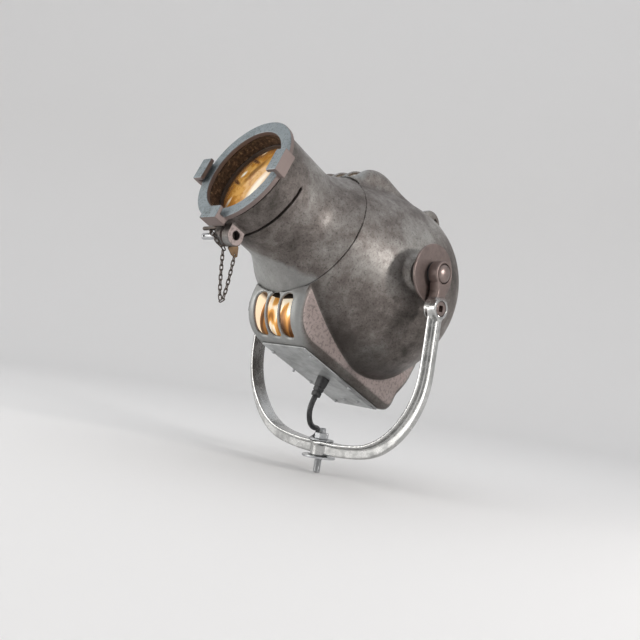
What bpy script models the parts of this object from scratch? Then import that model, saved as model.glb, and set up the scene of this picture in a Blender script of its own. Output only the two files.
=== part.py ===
"""Theatre spotlight with a cast housing in a bow-shaped yoke.

Metres, +Z up. The origin is the centre of the foot washer's lower face, which is
clamped to whatever carries the lamp. The tilt axis runs along X and the lamp looks
towards -Y, tilted up. Lamp pieces are modelled in the lamp's own axes: X to the side,
Y up from the optical axis and Z forwards along it, with the tilt axis at zero.
"""

import math

import bmesh
import bpy
import numpy as np
from mathutils import Matrix, Vector

FIT_GAP = 0.0003
ROUND_STEPS = 36
SMALL_STEPS = 16

# Stance
FOOT_RADIUS = 0.023
FOOT_THICKNESS = 0.003
PIVOT_HEIGHT = 0.2572
TILT_UP = math.radians(22.9)

# Housing casting
WALL = 0.0035
BELL_RADIUS = 0.1361
BELL_WIDEST_AT = -0.041
BELL_MOUTH_RADIUS = 0.0925
BELL_MOUTH_AT = 0.0885
BELL_CURVE_POWER = 1.45
BELL_REAR_LENGTH = 0.1225
HOOD_HALF_WIDTH = 0.050
HOOD_TOP = BELL_RADIUS - 0.0111
HOOD_CENTRE = 0.072
BOX_CENTRE = 0.084
VENT_ROOT = 0.020
BOX_HALF_WIDTH = 0.052
BOX_BOTTOM = BELL_RADIUS + 0.0066
BOX_REAR = 0.141
VENT_FRONT = BELL_MOUTH_AT + 0.0037
VENT_CENTRE_AT = 0.038
VENT_ROUND_POWER = 2.3
CASTING_ROUND = 0.011
HOOD_ROUND = 0.013

# Ventilation slots
SLOT_WIDTH = 0.0207
SLOT_PITCH = 0.0247
SLOT_SIDE_STARTS = BELL_MOUTH_RADIUS + 0.0005
SLOT_FACE_ENDS_AT = 0.056
BAFFLE_SETBACK = 0.028
BAFFLE_REACH = 0.026

# Front snout and its clamp
SNOUT_RADIUS = 0.0695
SKIRT_STEPS = ((0.0080, 0.0160), (0.0150, 0.0270))
SKIRT_INNER_STEPS = ((0.0097, 0.0130), (0.0177, 0.0270))
SNOUT_FRONT_AT = 0.2115
SKIRT_STARTS_AT = 0.128
SNOUT_WALL = 0.0072
CLAMP_SLIT_AT = 0.1795
CLAMP_SLIT_WIDTH = 0.0026
CLAMP_SLIT_BELOW = 0.0005
SPLIT_WIDTH = 0.003
EAR_THICKNESS = 0.0125
EAR_RADIUS = 0.013
EAR_AT = 0.1925
EAR_DROP = 0.0785
EAR_BORE_RADIUS = 0.0052
CLAMP_BAR_RADIUS = 0.0042
CLAMP_COLLAR_RADIUS = 0.0065
CLAMP_BAR_END = 0.052
FRAME_PIN_RADIUS = 0.0025
PIN_EYE_AT = 0.022

# Lens tube and front ring
TUBE_CLEARANCE = 0.0003
TUBE_WALL = 0.0037
TUBE_REAR_AT = 0.140
RING_FRONT_AT = 0.2207
RING_THICKNESS = 0.0065
RING_RADIUS = 0.074
RUNNER_WIDTH = 0.031
RUNNER_REACH = 0.0175
RUNNER_PROUD = 0.011
RUNNER_LIP = 0.0055
RUNNER_ROOT = 0.008
LENS_RIM_AT = 0.190
LENS_EDGE = 0.004
LENS_CROWN = 0.009

# Yoke
HOUSING_BOSS_FACE = BELL_RADIUS - 0.0056
DISC_OUTER_FACE = HOUSING_BOSS_FACE + 0.0213
YOKE_INSIDE = DISC_OUTER_FACE + 0.0072
BOW_SHAPE = (
    (0.0, 0.0),
    (0.25157, 0.00429),
    (0.52830, 0.04026),
    (0.72327, 0.12883),
    (0.86792, 0.26303),
    (0.95597, 0.40797),
    (0.99371, 0.55827),
    (1.0, 0.75152),
    (1.0, 1.0),
)
BOW_SPACING = 0.021
RIB_TAPER_HEIGHT = 0.12
RIB_RUN_OUT = 0.0095
YOKE_FLANGE_WIDTH = 0.023
YOKE_FLANGE_THICKNESS = 0.0045
YOKE_RIB_WIDTH = 0.0075
YOKE_RIB_BOTTOM = 0.0175
YOKE_RIB_TOP = 0.013
YOKE_BOSS_RADIUS = 0.0125
YOKE_FLOOR = 0.0232
ARM_BOSS_DROP = 0.0436
ARM_BOSS_RADIUS = 0.0137
EYE_RADIUS = 0.0157
LINK_WAIST = 0.0078
ARM_OUTER_FACE = DISC_OUTER_FACE + 0.0194
EYE_OUTER_FACE = DISC_OUTER_FACE + 0.0167
SOCKET_SCREW_RADIUS = 0.0092
SOCKET_SQUARE = 0.0075

# Pivot on each side
DISC_RADIUS = 0.0374
DISC_THICKNESS = 0.0035
PIVOT_WASHER_THICKNESS = 0.002
SPACER_RADIUS = 0.0095
PIVOT_SHANK_RADIUS = 0.005
PIVOT_HEAD_RADIUS = 0.0122
HOUSING_BOSS_RADIUS = 0.020
PIVOT_BOLT_GRIP = 0.0185

# Foot fastening
STUD_RADIUS = 0.005
STUD_BELOW = 0.020
WASHER_RADIUS = 0.0175
WASHER_THICKNESS = 0.0018
NUT_ACROSS_FLATS = 0.017
NUT_HEIGHT = 0.008

# Base plate, lamp and reflector
PLATE_HALF_WIDTH = 0.0412
PLATE_FRONT_AT = 0.044
PLATE_REAR_AT = -0.1246
PLATE_THICKNESS = 0.0020
PLATE_SCREW_SIDE = 0.0370
TRAY_MARGIN = 0.009
SCREW_HEAD_RADIUS = 0.0030
HOLDER_RADIUS = 0.018
HOLDER_TOP = -0.070
BULB_RADIUS = 0.026
BULB_AT = -0.008
REFLECTOR_RADIUS = 0.062
REFLECTOR_RIM = 0.048
GATE_RADIUS = 0.021
SHEET = 0.0012

# Mains lead
CORD_RADIUS = 0.00375
BOOT_AT = -0.042
BOOT_SIDE = 0.005
BOOT_LENGTH = 0.027
BOOT_ROOT = 0.0075
BOOT_TIP = 0.0052
DROP_ENDS_AT = -0.030
CLIP_THICKNESS = 0.0012
CLIP_WIDTH = 0.008
COIL_TURNS = 6.5
COIL_LAYERS = 4
COIL_MEAN_RADIUS = 0.0378
COIL_STEP = 0.0081
COIL_HEIGHT = PIVOT_HEIGHT - 0.0592
COIL_TAIL = 0.038
COIL_SIDE = -EYE_OUTER_FACE
STRAP_WIDTH = 0.014
STRAP_THICKNESS = 0.0015
STRAP_CORNER = 0.005
STRAP_SLACK = 0.0009
PLUG_RADIUS = 0.0130
PLUG_LENGTH = 0.034
PLUG_PIN_SPACING = 0.019
PLUG_PIN_RADIUS = 0.0024
PLUG_PIN_LENGTH = 0.017

# Chain, as an envelope of its links
CHAIN_PITCH = 0.0060
CHAIN_RADIUS = 0.0027
CHAIN_LOOP = 0.121
CHAIN_ROUND_EAR = 0.0040
TAB_RADIUS = 0.0085
TAB_TIP_UP = -0.0960
TAB_TIP_AT = 0.1715

LAMP_AXES = Matrix.Translation((0, 0, PIVOT_HEIGHT)) @ Matrix.Rotation(
    math.pi / 2 - TILT_UP, 4, "X"
)
ALONG_X = Matrix(((0, 0, 1, 0), (0, 1, 0, 0), (-1, 0, 0, 0), (0, 0, 0, 1)))

FINISHES = {
    "cast_aluminium": ((0.30, 0.28, 0.26), 0.42, 0.9),
    "bare_aluminium": ((0.62, 0.64, 0.66), 0.30, 1.0),
    "polished_aluminium": ((0.86, 0.87, 0.88), 0.14, 1.0),
    "zinc_steel": ((0.72, 0.73, 0.74), 0.25, 1.0),
    "dark_steel": ((0.22, 0.20, 0.18), 0.40, 1.0),
    "pivot_steel": ((0.45, 0.40, 0.39), 0.35, 1.0),
    "brass": ((0.40, 0.27, 0.12), 0.45, 1.0),
    "sheet_steel": ((0.58, 0.59, 0.60), 0.38, 1.0),
    "lens_glass": ((0.90, 0.62, 0.25), 0.05, 0.0),
    "bulb_glass": ((0.95, 0.80, 0.50), 0.05, 0.0),
    "ceramic": ((0.85, 0.82, 0.76), 0.45, 0.0),
    "black_plastic": ((0.03, 0.03, 0.03), 0.45, 0.0),
}


def clear_scene():
    for item in list(bpy.data.objects):
        bpy.data.objects.remove(item, do_unlink=True)


def collection(name):
    made = bpy.data.collections.new(name)
    bpy.context.scene.collection.children.link(made)
    return made


def finish(name):
    """The Principled material of that name, made once."""
    found = bpy.data.materials.get(name)
    if found:
        return found
    colour, roughness, metallic = FINISHES[name]
    made = bpy.data.materials.new(name)
    made.use_nodes = True
    shader = made.node_tree.nodes["Principled BSDF"]
    shader.inputs["Base Color"].default_value = (*colour, 1.0)
    shader.inputs["Roughness"].default_value = roughness
    shader.inputs["Metallic"].default_value = metallic
    return made


class Shop:
    """The collections and the empties that the pieces hang on."""

    def __init__(self):
        self.parts = collection("theatre_spotlight")
        self.cutters = collection("cutters")
        self.lamp = self.empty("lamp_tilt_axis", LAMP_AXES)
        self.ground = self.empty("yoke_pan_axis", Matrix.Identity(4))
        self.clamp = self.empty("clamp_screw_axis", Matrix.Translation((0, -EAR_DROP, EAR_AT)), self.lamp)

    def empty(self, name, place, parent=None):
        made = bpy.data.objects.new(name, None)
        self.parts.objects.link(made)
        made.parent = parent
        made.matrix_local = place
        return made


def smooth(item, angle=35):
    item.data.shade_smooth()
    item.data.set_sharp_from_angle(angle=math.radians(angle))


def part(shop, name, mesh, material, parent):
    item = bpy.data.objects.new(name, mesh)
    item.parent = parent
    mesh.materials.clear()
    mesh.materials.append(finish(material))
    shop.parts.objects.link(item)
    return item


def cutter(shop, name, mesh, parent):
    item = bpy.data.objects.new(name, mesh)
    item.parent = parent
    item.hide_render = True
    item.display_type = "WIRE"
    shop.cutters.objects.link(item)
    return item


def boolean(item, other, operation="DIFFERENCE"):
    step = item.modifiers.new(f"{operation.lower()}_{other.name}", "BOOLEAN")
    step.operation = operation
    step.object = other
    step.solver = "EXACT"


def round_edges(item, width, segments=2, angle=40):
    step = item.modifiers.new("rounded_edges", "BEVEL")
    step.width = width
    step.segments = segments
    step.limit_method = "ANGLE"
    step.angle_limit = math.radians(angle)
    step.use_clamp_overlap = True


def from_bmesh(name, bm):
    mesh = bpy.data.meshes.new(name)
    bm.to_mesh(mesh)
    bm.free()
    return mesh


def box_mesh(name, low, high):
    bm = bmesh.new()
    low, high = Vector(low), Vector(high)
    place = Matrix.Translation((low + high) / 2) @ Matrix.Diagonal((*(high - low), 1))
    bmesh.ops.create_cube(bm, size=1, matrix=place)
    return from_bmesh(name, bm)


def rod_mesh(name, radius, start, end, sides=SMALL_STEPS, tip_radius=None):
    """A cylinder or a cone frustum from start to end."""
    bm = bmesh.new()
    start, end = Vector(start), Vector(end)
    along = end - start
    place = Matrix.Translation((start + end) / 2) @ along.to_track_quat("Z", "Y").to_matrix().to_4x4()
    tip = radius if tip_radius is None else tip_radius
    bmesh.ops.create_cone(
        bm, cap_ends=True, segments=sides, radius1=radius, radius2=tip, depth=along.length, matrix=place
    )
    return from_bmesh(name, bm)


def turned_mesh(name, profile, steps=ROUND_STEPS, closed=False, turn=None):
    """A profile of (radius, height) points, running down its outer side, turned about Z."""
    mesh = bpy.data.meshes.new(f"{name}_profile")
    points = [(r, 0.0, h) for r, h in profile]
    count = len(points)
    edges = [(i, i + 1) for i in range(count - 1)]
    if closed:
        edges.append((count - 1, 0))
    mesh.from_pydata(points, edges, [])
    holder = bpy.data.objects.new(f"{name}_profile", mesh)
    bpy.context.scene.collection.objects.link(holder)
    screw = holder.modifiers.new("turn", "SCREW")
    screw.axis = "Z"
    screw.steps = steps
    screw.render_steps = steps
    screw.use_merge_vertices = True
    screw.merge_threshold = 0.00001
    bpy.context.view_layer.update()
    shape = bpy.data.meshes.new_from_object(holder.evaluated_get(bpy.context.evaluated_depsgraph_get()))
    bpy.data.objects.remove(holder, do_unlink=True)
    shape.name = name
    if turn:
        shape.transform(turn)
    return shape


def outline_mesh(name, points, thickness, turn=None, holes=()):
    """A closed flat outline, given as 2D points, filled and thickened about its own plane."""
    curve = bpy.data.curves.new(name, "CURVE")
    curve.dimensions = "2D"
    curve.fill_mode = "BOTH"
    curve.extrude = thickness / 2
    for ring in (points, *holes):
        spline = curve.splines.new("POLY")
        spline.points.add(len(ring) - 1)
        for point, (x, y) in zip(spline.points, ring, strict=True):
            point.co = (x, y, 0, 1)
        spline.use_cyclic_u = True
    holder = bpy.data.objects.new(name, curve)
    bpy.context.scene.collection.objects.link(holder)
    bpy.context.view_layer.update()
    shape = bpy.data.meshes.new_from_object(holder.evaluated_get(bpy.context.evaluated_depsgraph_get()))
    bpy.data.objects.remove(holder, do_unlink=True)
    bm = bmesh.new()
    bm.from_mesh(shape)
    bmesh.ops.remove_doubles(bm, verts=bm.verts, dist=0.00001)
    bmesh.ops.recalc_face_normals(bm, faces=bm.faces)
    bm.to_mesh(shape)
    bm.free()
    if turn:
        shape.transform(turn)
    return shape


def tube_mesh(name, points, radius, resolution=2):
    """A round tube along the points, its flat caps welded to its sides."""
    curve = bpy.data.curves.new(name, "CURVE")
    curve.dimensions = "3D"
    curve.bevel_depth = radius
    curve.bevel_resolution = resolution
    curve.use_fill_caps = True
    spline = curve.splines.new("POLY")
    spline.points.add(len(points) - 1)
    for point, place in zip(spline.points, points, strict=True):
        point.co = (*place, 1)
    holder = bpy.data.objects.new(name, curve)
    bpy.context.scene.collection.objects.link(holder)
    bpy.context.view_layer.update()
    shape = bpy.data.meshes.new_from_object(holder.evaluated_get(bpy.context.evaluated_depsgraph_get()))
    bpy.data.objects.remove(holder, do_unlink=True)
    bm = bmesh.new()
    bm.from_mesh(shape)
    bmesh.ops.remove_doubles(bm, verts=bm.verts, dist=0.00001)
    bmesh.ops.recalc_face_normals(bm, faces=bm.faces)
    bm.to_mesh(shape)
    bm.free()
    return shape


def smooth_path(points, spacing):
    """Evenly spaced points on a Catmull-Rom curve through the given ones."""
    given = np.array(points, float)
    padded = np.vstack([2 * given[0] - given[1], given, 2 * given[-1] - given[-2]])
    fine = []
    for i in range(len(given) - 1):
        a, b, c, d = padded[i : i + 4]
        t = np.linspace(0, 1, 40, endpoint=False)[:, None]
        fine.append(
            0.5
            * (2 * b + (c - a) * t + (2 * a - 5 * b + 4 * c - d) * t**2 + (3 * b - a - 3 * c + d) * t**3)
        )
    fine = np.vstack([*fine, given[-1:]])
    run = np.concatenate([[0], np.cumsum(np.linalg.norm(np.diff(fine, axis=0), axis=1))])
    count = max(2, round(run[-1] / spacing) + 1)
    at = np.linspace(0, run[-1], count)
    return np.stack([np.interp(at, run, fine[:, k]) for k in range(fine.shape[1])], axis=1)


def bell_radius(along):
    """The housing's outer radius at a place along the optical axis."""
    if along >= BELL_WIDEST_AT:
        share = (along - BELL_WIDEST_AT) / (BELL_MOUTH_AT - BELL_WIDEST_AT)
        return BELL_RADIUS - (BELL_RADIUS - BELL_MOUTH_RADIUS) * share**BELL_CURVE_POWER
    share = min(1.0, (BELL_WIDEST_AT - along) / BELL_REAR_LENGTH)
    return BELL_RADIUS * math.sqrt(1 - share**2)


def bell_profile(inset):
    """The bell from mouth to rear pole, drawn in by an inset."""
    front = np.linspace(BELL_MOUTH_AT, BELL_WIDEST_AT, 7)
    points = [(bell_radius(u) - inset, u) for u in front]
    rear = BELL_REAR_LENGTH - inset
    for angle in np.linspace(0, math.pi / 2, 9)[1:]:
        radius = (BELL_RADIUS - inset) * math.cos(angle)
        points.append((max(0.0, radius), BELL_WIDEST_AT - rear * math.sin(angle)))
    points[-1] = (0.0, points[-1][1])
    return points


def vent_curve(centre_side, reach_side, reach_front, count=7):
    """The rounded front of a vent box, from its front wall round to its flat side."""
    points = []
    for angle in np.linspace(0, math.pi / 2, count):
        front = math.cos(angle) ** (2 / VENT_ROUND_POWER)
        side = math.sin(angle) ** (2 / VENT_ROUND_POWER)
        points.append((centre_side + reach_side * side, VENT_CENTRE_AT + reach_front * front))
    return points


def hood_outline(inset):
    """The upper vent hood in (up, forward)."""
    centre = HOOD_CENTRE
    curve = vent_curve(centre, HOOD_TOP - centre - inset, VENT_FRONT - VENT_CENTRE_AT - inset)
    rear = BELL_WIDEST_AT - 0.004
    return [(VENT_ROOT, VENT_FRONT - inset), *curve, (HOOD_TOP - inset, rear), (VENT_ROOT, rear)]


def box_outline(inset):
    """The lower lamp box in (up, forward), with its slanted and rounded rear."""
    centre = BOX_CENTRE
    curve = vent_curve(centre, BOX_BOTTOM - centre - inset, VENT_FRONT - VENT_CENTRE_AT - inset)
    rear = [
        (BOX_BOTTOM, 0.015),
        (BOX_BOTTOM - 0.0057, 0.004),
        (0.1270, 0.000),
        (0.1135, -0.0005),
        (0.1030, -0.005),
        (0.0880, -0.0105),
        (0.0690, -0.0130),
        (0.0490, -0.0135),
        (VENT_ROOT, -0.0050),
    ]
    back = [(min(side, BOX_BOTTOM - inset), inset - BOX_REAR + step) for side, step in rear]
    flipped = [(VENT_ROOT, VENT_FRONT - inset), *curve, *back]
    return [(-side, along) for side, along in reversed(flipped)]


# A drawing in (up, forward) laid out as the lamp's Y and Z, thickened along X.
UP_FORWARD = Matrix(((0, 0, 1, 0), (1, 0, 0, 0), (0, 1, 0, 0), (0, 0, 0, 1)))


def slot_centres():
    return [-SLOT_PITCH, 0.0, SLOT_PITCH]


def slot_cutters(shop, name, sign, side_end):
    """Three upright slots through a vent's rounded front; sign +1 above, -1 below."""
    made = []
    for number, centre in enumerate(slot_centres(), start=1):
        outline = [
            (SLOT_SIDE_STARTS, VENT_FRONT + 0.02),
            (SLOT_SIDE_STARTS, SLOT_FACE_ENDS_AT),
            (side_end + 0.02, SLOT_FACE_ENDS_AT),
            (side_end + 0.02, VENT_FRONT + 0.02),
        ]
        outline = [(sign * side, along) for side, along in outline]
        mesh = outline_mesh(f"{name}_{number}", outline, SLOT_WIDTH, UP_FORWARD)
        mesh.transform(Matrix.Translation((centre, 0, 0)))
        item = cutter(shop, f"{name}_{number}", mesh, shop.lamp)
        round_edges(item, SLOT_WIDTH * 0.46)
        made.append(item)
    return made


def rear_housing(shop):
    """The hollow casting: bell, upper hood, lower lamp box, slots and pivot bosses."""
    spare = BELL_MOUTH_AT + 0.002
    bell = turned_mesh("rear_housing", [(0.0, spare), (BELL_MOUTH_RADIUS, spare), *bell_profile(0)])
    shell = part(shop, "rear_housing", bell, "cast_aluminium", shop.lamp)

    hood_outer = outline_mesh("hood_body", hood_outline(0), 2 * HOOD_HALF_WIDTH, UP_FORWARD)
    hood = cutter(shop, "hood_body", hood_outer, shop.lamp)
    round_edges(hood, HOOD_ROUND)
    box_outer = outline_mesh("box_body", box_outline(0), 2 * BOX_HALF_WIDTH, UP_FORWARD)
    box = cutter(shop, "box_body", box_outer, shop.lamp)
    round_edges(box, CASTING_ROUND)
    boolean(shell, hood, "UNION")
    boolean(shell, box, "UNION")
    for side in (-1, 1):
        boss = rod_mesh(
            "boss",
            HOUSING_BOSS_RADIUS,
            (side * (HOUSING_BOSS_FACE - 0.03), 0, 0),
            (side * HOUSING_BOSS_FACE, 0, 0),
            32,
        )
        boolean(shell, cutter(shop, f"pivot_boss_{side}", boss, shop.lamp), "UNION")
    lug = outline_mesh("lug", lug_outline(), 0.009, UP_FORWARD, [lug_hole()])
    lug.transform(Matrix.Translation((HOOD_HALF_WIDTH - 0.003, 0, 0)))
    boolean(shell, cutter(shop, "chain_lug_body", lug, shop.lamp), "UNION")

    inside = [
        (0.0, BELL_MOUTH_AT + 0.02), (BELL_MOUTH_RADIUS - WALL, BELL_MOUTH_AT + 0.02), *bell_profile(WALL)
    ]
    boolean(shell, cutter(shop, "bell_cavity", turned_mesh("bell_cavity", inside), shop.lamp))
    hood_inner = outline_mesh("hood_cavity", hood_outline(WALL), 2 * (HOOD_HALF_WIDTH - WALL), UP_FORWARD)
    hood_cavity = cutter(shop, "hood_cavity", hood_inner, shop.lamp)
    round_edges(hood_cavity, HOOD_ROUND - WALL)
    box_inner = outline_mesh("box_cavity", box_outline(WALL), 2 * (BOX_HALF_WIDTH - WALL), UP_FORWARD)
    box_cavity = cutter(shop, "box_cavity", box_inner, shop.lamp)
    round_edges(box_cavity, CASTING_ROUND - WALL)
    boolean(shell, hood_cavity)
    boolean(shell, box_cavity)

    opening = box_mesh(
        "tray_opening",
        (-PLATE_HALF_WIDTH + TRAY_MARGIN, -BOX_BOTTOM - 0.02, PLATE_REAR_AT + TRAY_MARGIN),
        (PLATE_HALF_WIDTH - TRAY_MARGIN, -BOX_BOTTOM + 0.02, PLATE_FRONT_AT - TRAY_MARGIN),
    )
    boolean(shell, cutter(shop, "tray_opening", opening, shop.lamp))
    skirt_room = turned_mesh(
        "skirt_room",
        [
            (0.0, BELL_MOUTH_AT + 0.03),
            (BELL_MOUTH_RADIUS + 0.0008, BELL_MOUTH_AT + 0.03),
            (BELL_MOUTH_RADIUS + 0.0008, BELL_MOUTH_AT),
            (0.0, BELL_MOUTH_AT),
        ],
    )
    boolean(shell, cutter(shop, "skirt_room", skirt_room, shop.lamp))
    for item in (
        *slot_cutters(shop, "upper_slot", 1, HOOD_TOP), *slot_cutters(shop, "lower_slot", -1, BOX_BOTTOM)
    ):
        boolean(shell, item)
    bore = PIVOT_SHANK_RADIUS + FIT_GAP
    end = HOUSING_BOSS_FACE + 0.01
    shaft = rod_mesh("pivot_bore", bore, (-end, 0, 0), (end, 0, 0))
    boolean(shell, cutter(shop, "pivot_bore", shaft, shop.lamp))
    smooth(shell)
    return shell


def lug_outline():
    """A low half-round lug on the hood's shoulder, in (up, forward)."""
    points = []
    for angle in np.linspace(0, math.pi, 9):
        points.append((0.122 + 0.017 * math.sin(angle), -0.058 + 0.021 * math.cos(angle)))
    return [(0.105, -0.037), *points, (0.105, -0.079)]


def lug_hole():
    centre_up, centre_forward, radius = 0.1305, -0.068, 0.0032
    angles = np.linspace(0, 2 * math.pi, 12, endpoint=False)
    return [(centre_up + radius * math.cos(a), centre_forward + radius * math.sin(a)) for a in angles]


def snout_inner_radius():
    return SNOUT_RADIUS - SNOUT_WALL


def front_snout(shop):
    """The snout: a split clamp collar in front, a tube, and a skirt that meets the bell."""
    foot_at = BELL_MOUTH_AT + FIT_GAP
    inner = snout_inner_radius()
    profile = [
        (SNOUT_RADIUS - 0.0008, SNOUT_FRONT_AT),
        (SNOUT_RADIUS, SNOUT_FRONT_AT - 0.0008),
        (SNOUT_RADIUS, SKIRT_STARTS_AT + 0.010),
        (SNOUT_RADIUS + 0.0012, SKIRT_STARTS_AT),
        *((SNOUT_RADIUS + out, SKIRT_STARTS_AT - back) for out, back in SKIRT_STEPS),
        (BELL_MOUTH_RADIUS - 0.0005, foot_at + 0.0008),
        (BELL_MOUTH_RADIUS, foot_at),
        (BELL_MOUTH_RADIUS - WALL - FIT_GAP, foot_at),
        (BELL_MOUTH_RADIUS - WALL - FIT_GAP, foot_at - 0.006),
        (BELL_MOUTH_RADIUS - 2 * WALL, foot_at - 0.006),
        *((inner + out, SKIRT_STARTS_AT - back) for out, back in SKIRT_INNER_STEPS[::-1]),
        (inner, SKIRT_STARTS_AT),
        (inner, SNOUT_FRONT_AT),
    ]
    snout = part(
        shop, "front_snout", turned_mesh("front_snout", profile, closed=True), "cast_aluminium", shop.lamp
    )
    for side, name in ((1, "near"), (-1, "far")):
        ear = outline_mesh(f"{name}_ear", ear_outline(), EAR_THICKNESS, UP_FORWARD)
        middle = side * (SPLIT_WIDTH + EAR_THICKNESS) / 2
        ear.transform(Matrix.Translation((middle, 0, 0)))
        boolean(snout, cutter(shop, f"{name}_ear_body", ear, shop.lamp), "UNION")
    bore = rod_mesh("ear_bore", EAR_BORE_RADIUS, (-0.03, -EAR_DROP, EAR_AT), (0.03, -EAR_DROP, EAR_AT))
    boolean(snout, cutter(shop, "ear_bore", bore, shop.lamp))
    split = box_mesh(
        "collar_split",
        (-SPLIT_WIDTH / 2, -0.11, CLAMP_SLIT_AT),
        (SPLIT_WIDTH / 2, -inner + 0.005, SNOUT_FRONT_AT + 0.01),
    )
    boolean(snout, cutter(shop, "collar_split", split, shop.lamp))
    slit = box_mesh(
        "clamp_slit",
        (-0.09, -SNOUT_RADIUS - 0.001, CLAMP_SLIT_AT - CLAMP_SLIT_WIDTH / 2),
        (0.09, -CLAMP_SLIT_BELOW, CLAMP_SLIT_AT + CLAMP_SLIT_WIDTH / 2),
    )
    boolean(snout, cutter(shop, "clamp_slit", slit, shop.lamp))
    pin_hole = rod_mesh(
        "pin_hole",
        FRAME_PIN_RADIUS + FIT_GAP,
        (-0.03, *frame_pin_place()),
        (-0.006, *frame_pin_place()),
        12,
    )
    boolean(snout, cutter(shop, "pin_hole", pin_hole, shop.lamp))
    smooth(snout)
    return snout


def ear_outline():
    """A teardrop ear in (up, forward): a round lower end under a wide root."""
    points = []
    for angle in np.radians(np.linspace(15, -190, 12)):
        points.append((-EAR_DROP + EAR_RADIUS * math.sin(angle), EAR_AT + EAR_RADIUS * math.cos(angle)))
    root = -SNOUT_RADIUS + 0.004
    return [(root, EAR_AT + EAR_RADIUS), *points, (root, EAR_AT - EAR_RADIUS + 0.0035)]


def frame_pin_place():
    """Where the frame pin crosses the far ear, as (up, forward)."""
    return (-EAR_DROP + 0.0065, EAR_AT + 0.0075)


def clamp_screw(shop):
    """The clamp's screw with its collar and thumb bar, all along X."""
    shank = EAR_BORE_RADIUS - FIT_GAP
    ear_outside = SPLIT_WIDTH / 2 + EAR_THICKNESS
    profile = [
        (0.0, ear_outside - 0.004),
        (shank - 0.0006, ear_outside - 0.004),
        (shank, ear_outside - 0.005),
        (shank, -ear_outside - FIT_GAP),
        (CLAMP_COLLAR_RADIUS, -ear_outside - FIT_GAP),
        (CLAMP_COLLAR_RADIUS, -ear_outside - 0.0045),
        (CLAMP_BAR_RADIUS, -ear_outside - 0.0060),
        (CLAMP_BAR_RADIUS, -CLAMP_BAR_END + 0.001),
        (CLAMP_BAR_RADIUS - 0.001, -CLAMP_BAR_END),
        (0.0, -CLAMP_BAR_END),
    ]
    mesh = turned_mesh("clamp_screw", profile, SMALL_STEPS, turn=ALONG_X)
    item = part(shop, "clamp_screw", mesh, "zinc_steel", shop.clamp)
    cross = rod_mesh(
        "cross_hole", 0.0016, (-CLAMP_BAR_END + 0.006, -0.01, 0), (-CLAMP_BAR_END + 0.006, 0.01, 0), 12
    )
    boolean(item, cutter(shop, "bar_cross_hole", cross, shop.clamp))
    smooth(item)
    return item


def frame_pin(shop):
    """The captive pin whose tip sits in the far ear; its head carries the chain."""
    up, forward = frame_pin_place()
    profile = [
        (0.0, -0.008),
        (FRAME_PIN_RADIUS, -0.008),
        (FRAME_PIN_RADIUS, -0.047),
        (FRAME_PIN_RADIUS - 0.0008, -0.048),
        (0.0, -0.048),
    ]
    pin = turned_mesh("frame_pin", profile, 12, turn=ALONG_X)
    pin.transform(Matrix.Translation((0, up, forward)))
    item = part(shop, "frame_pin", pin, "dark_steel", shop.lamp)
    eye = turned_mesh(
        "pin_eye", ring_profile(0.0042, FRAME_PIN_RADIUS - 0.0006, 0.0016), 12, closed=True, turn=ALONG_X
    )
    eye.transform(Matrix.Translation((-PIN_EYE_AT, up, forward)))
    boolean(item, cutter(shop, "pin_eye_body", eye, shop.lamp), "UNION")
    smooth(item)
    return item


def ring_profile(outer, inner, height, middle=0.0):
    """A rectangular ring section, its outer side running down."""
    top, bottom = middle + height / 2, middle - height / 2
    return [(outer, top), (outer, bottom), (inner, bottom), (inner, top)]


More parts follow.
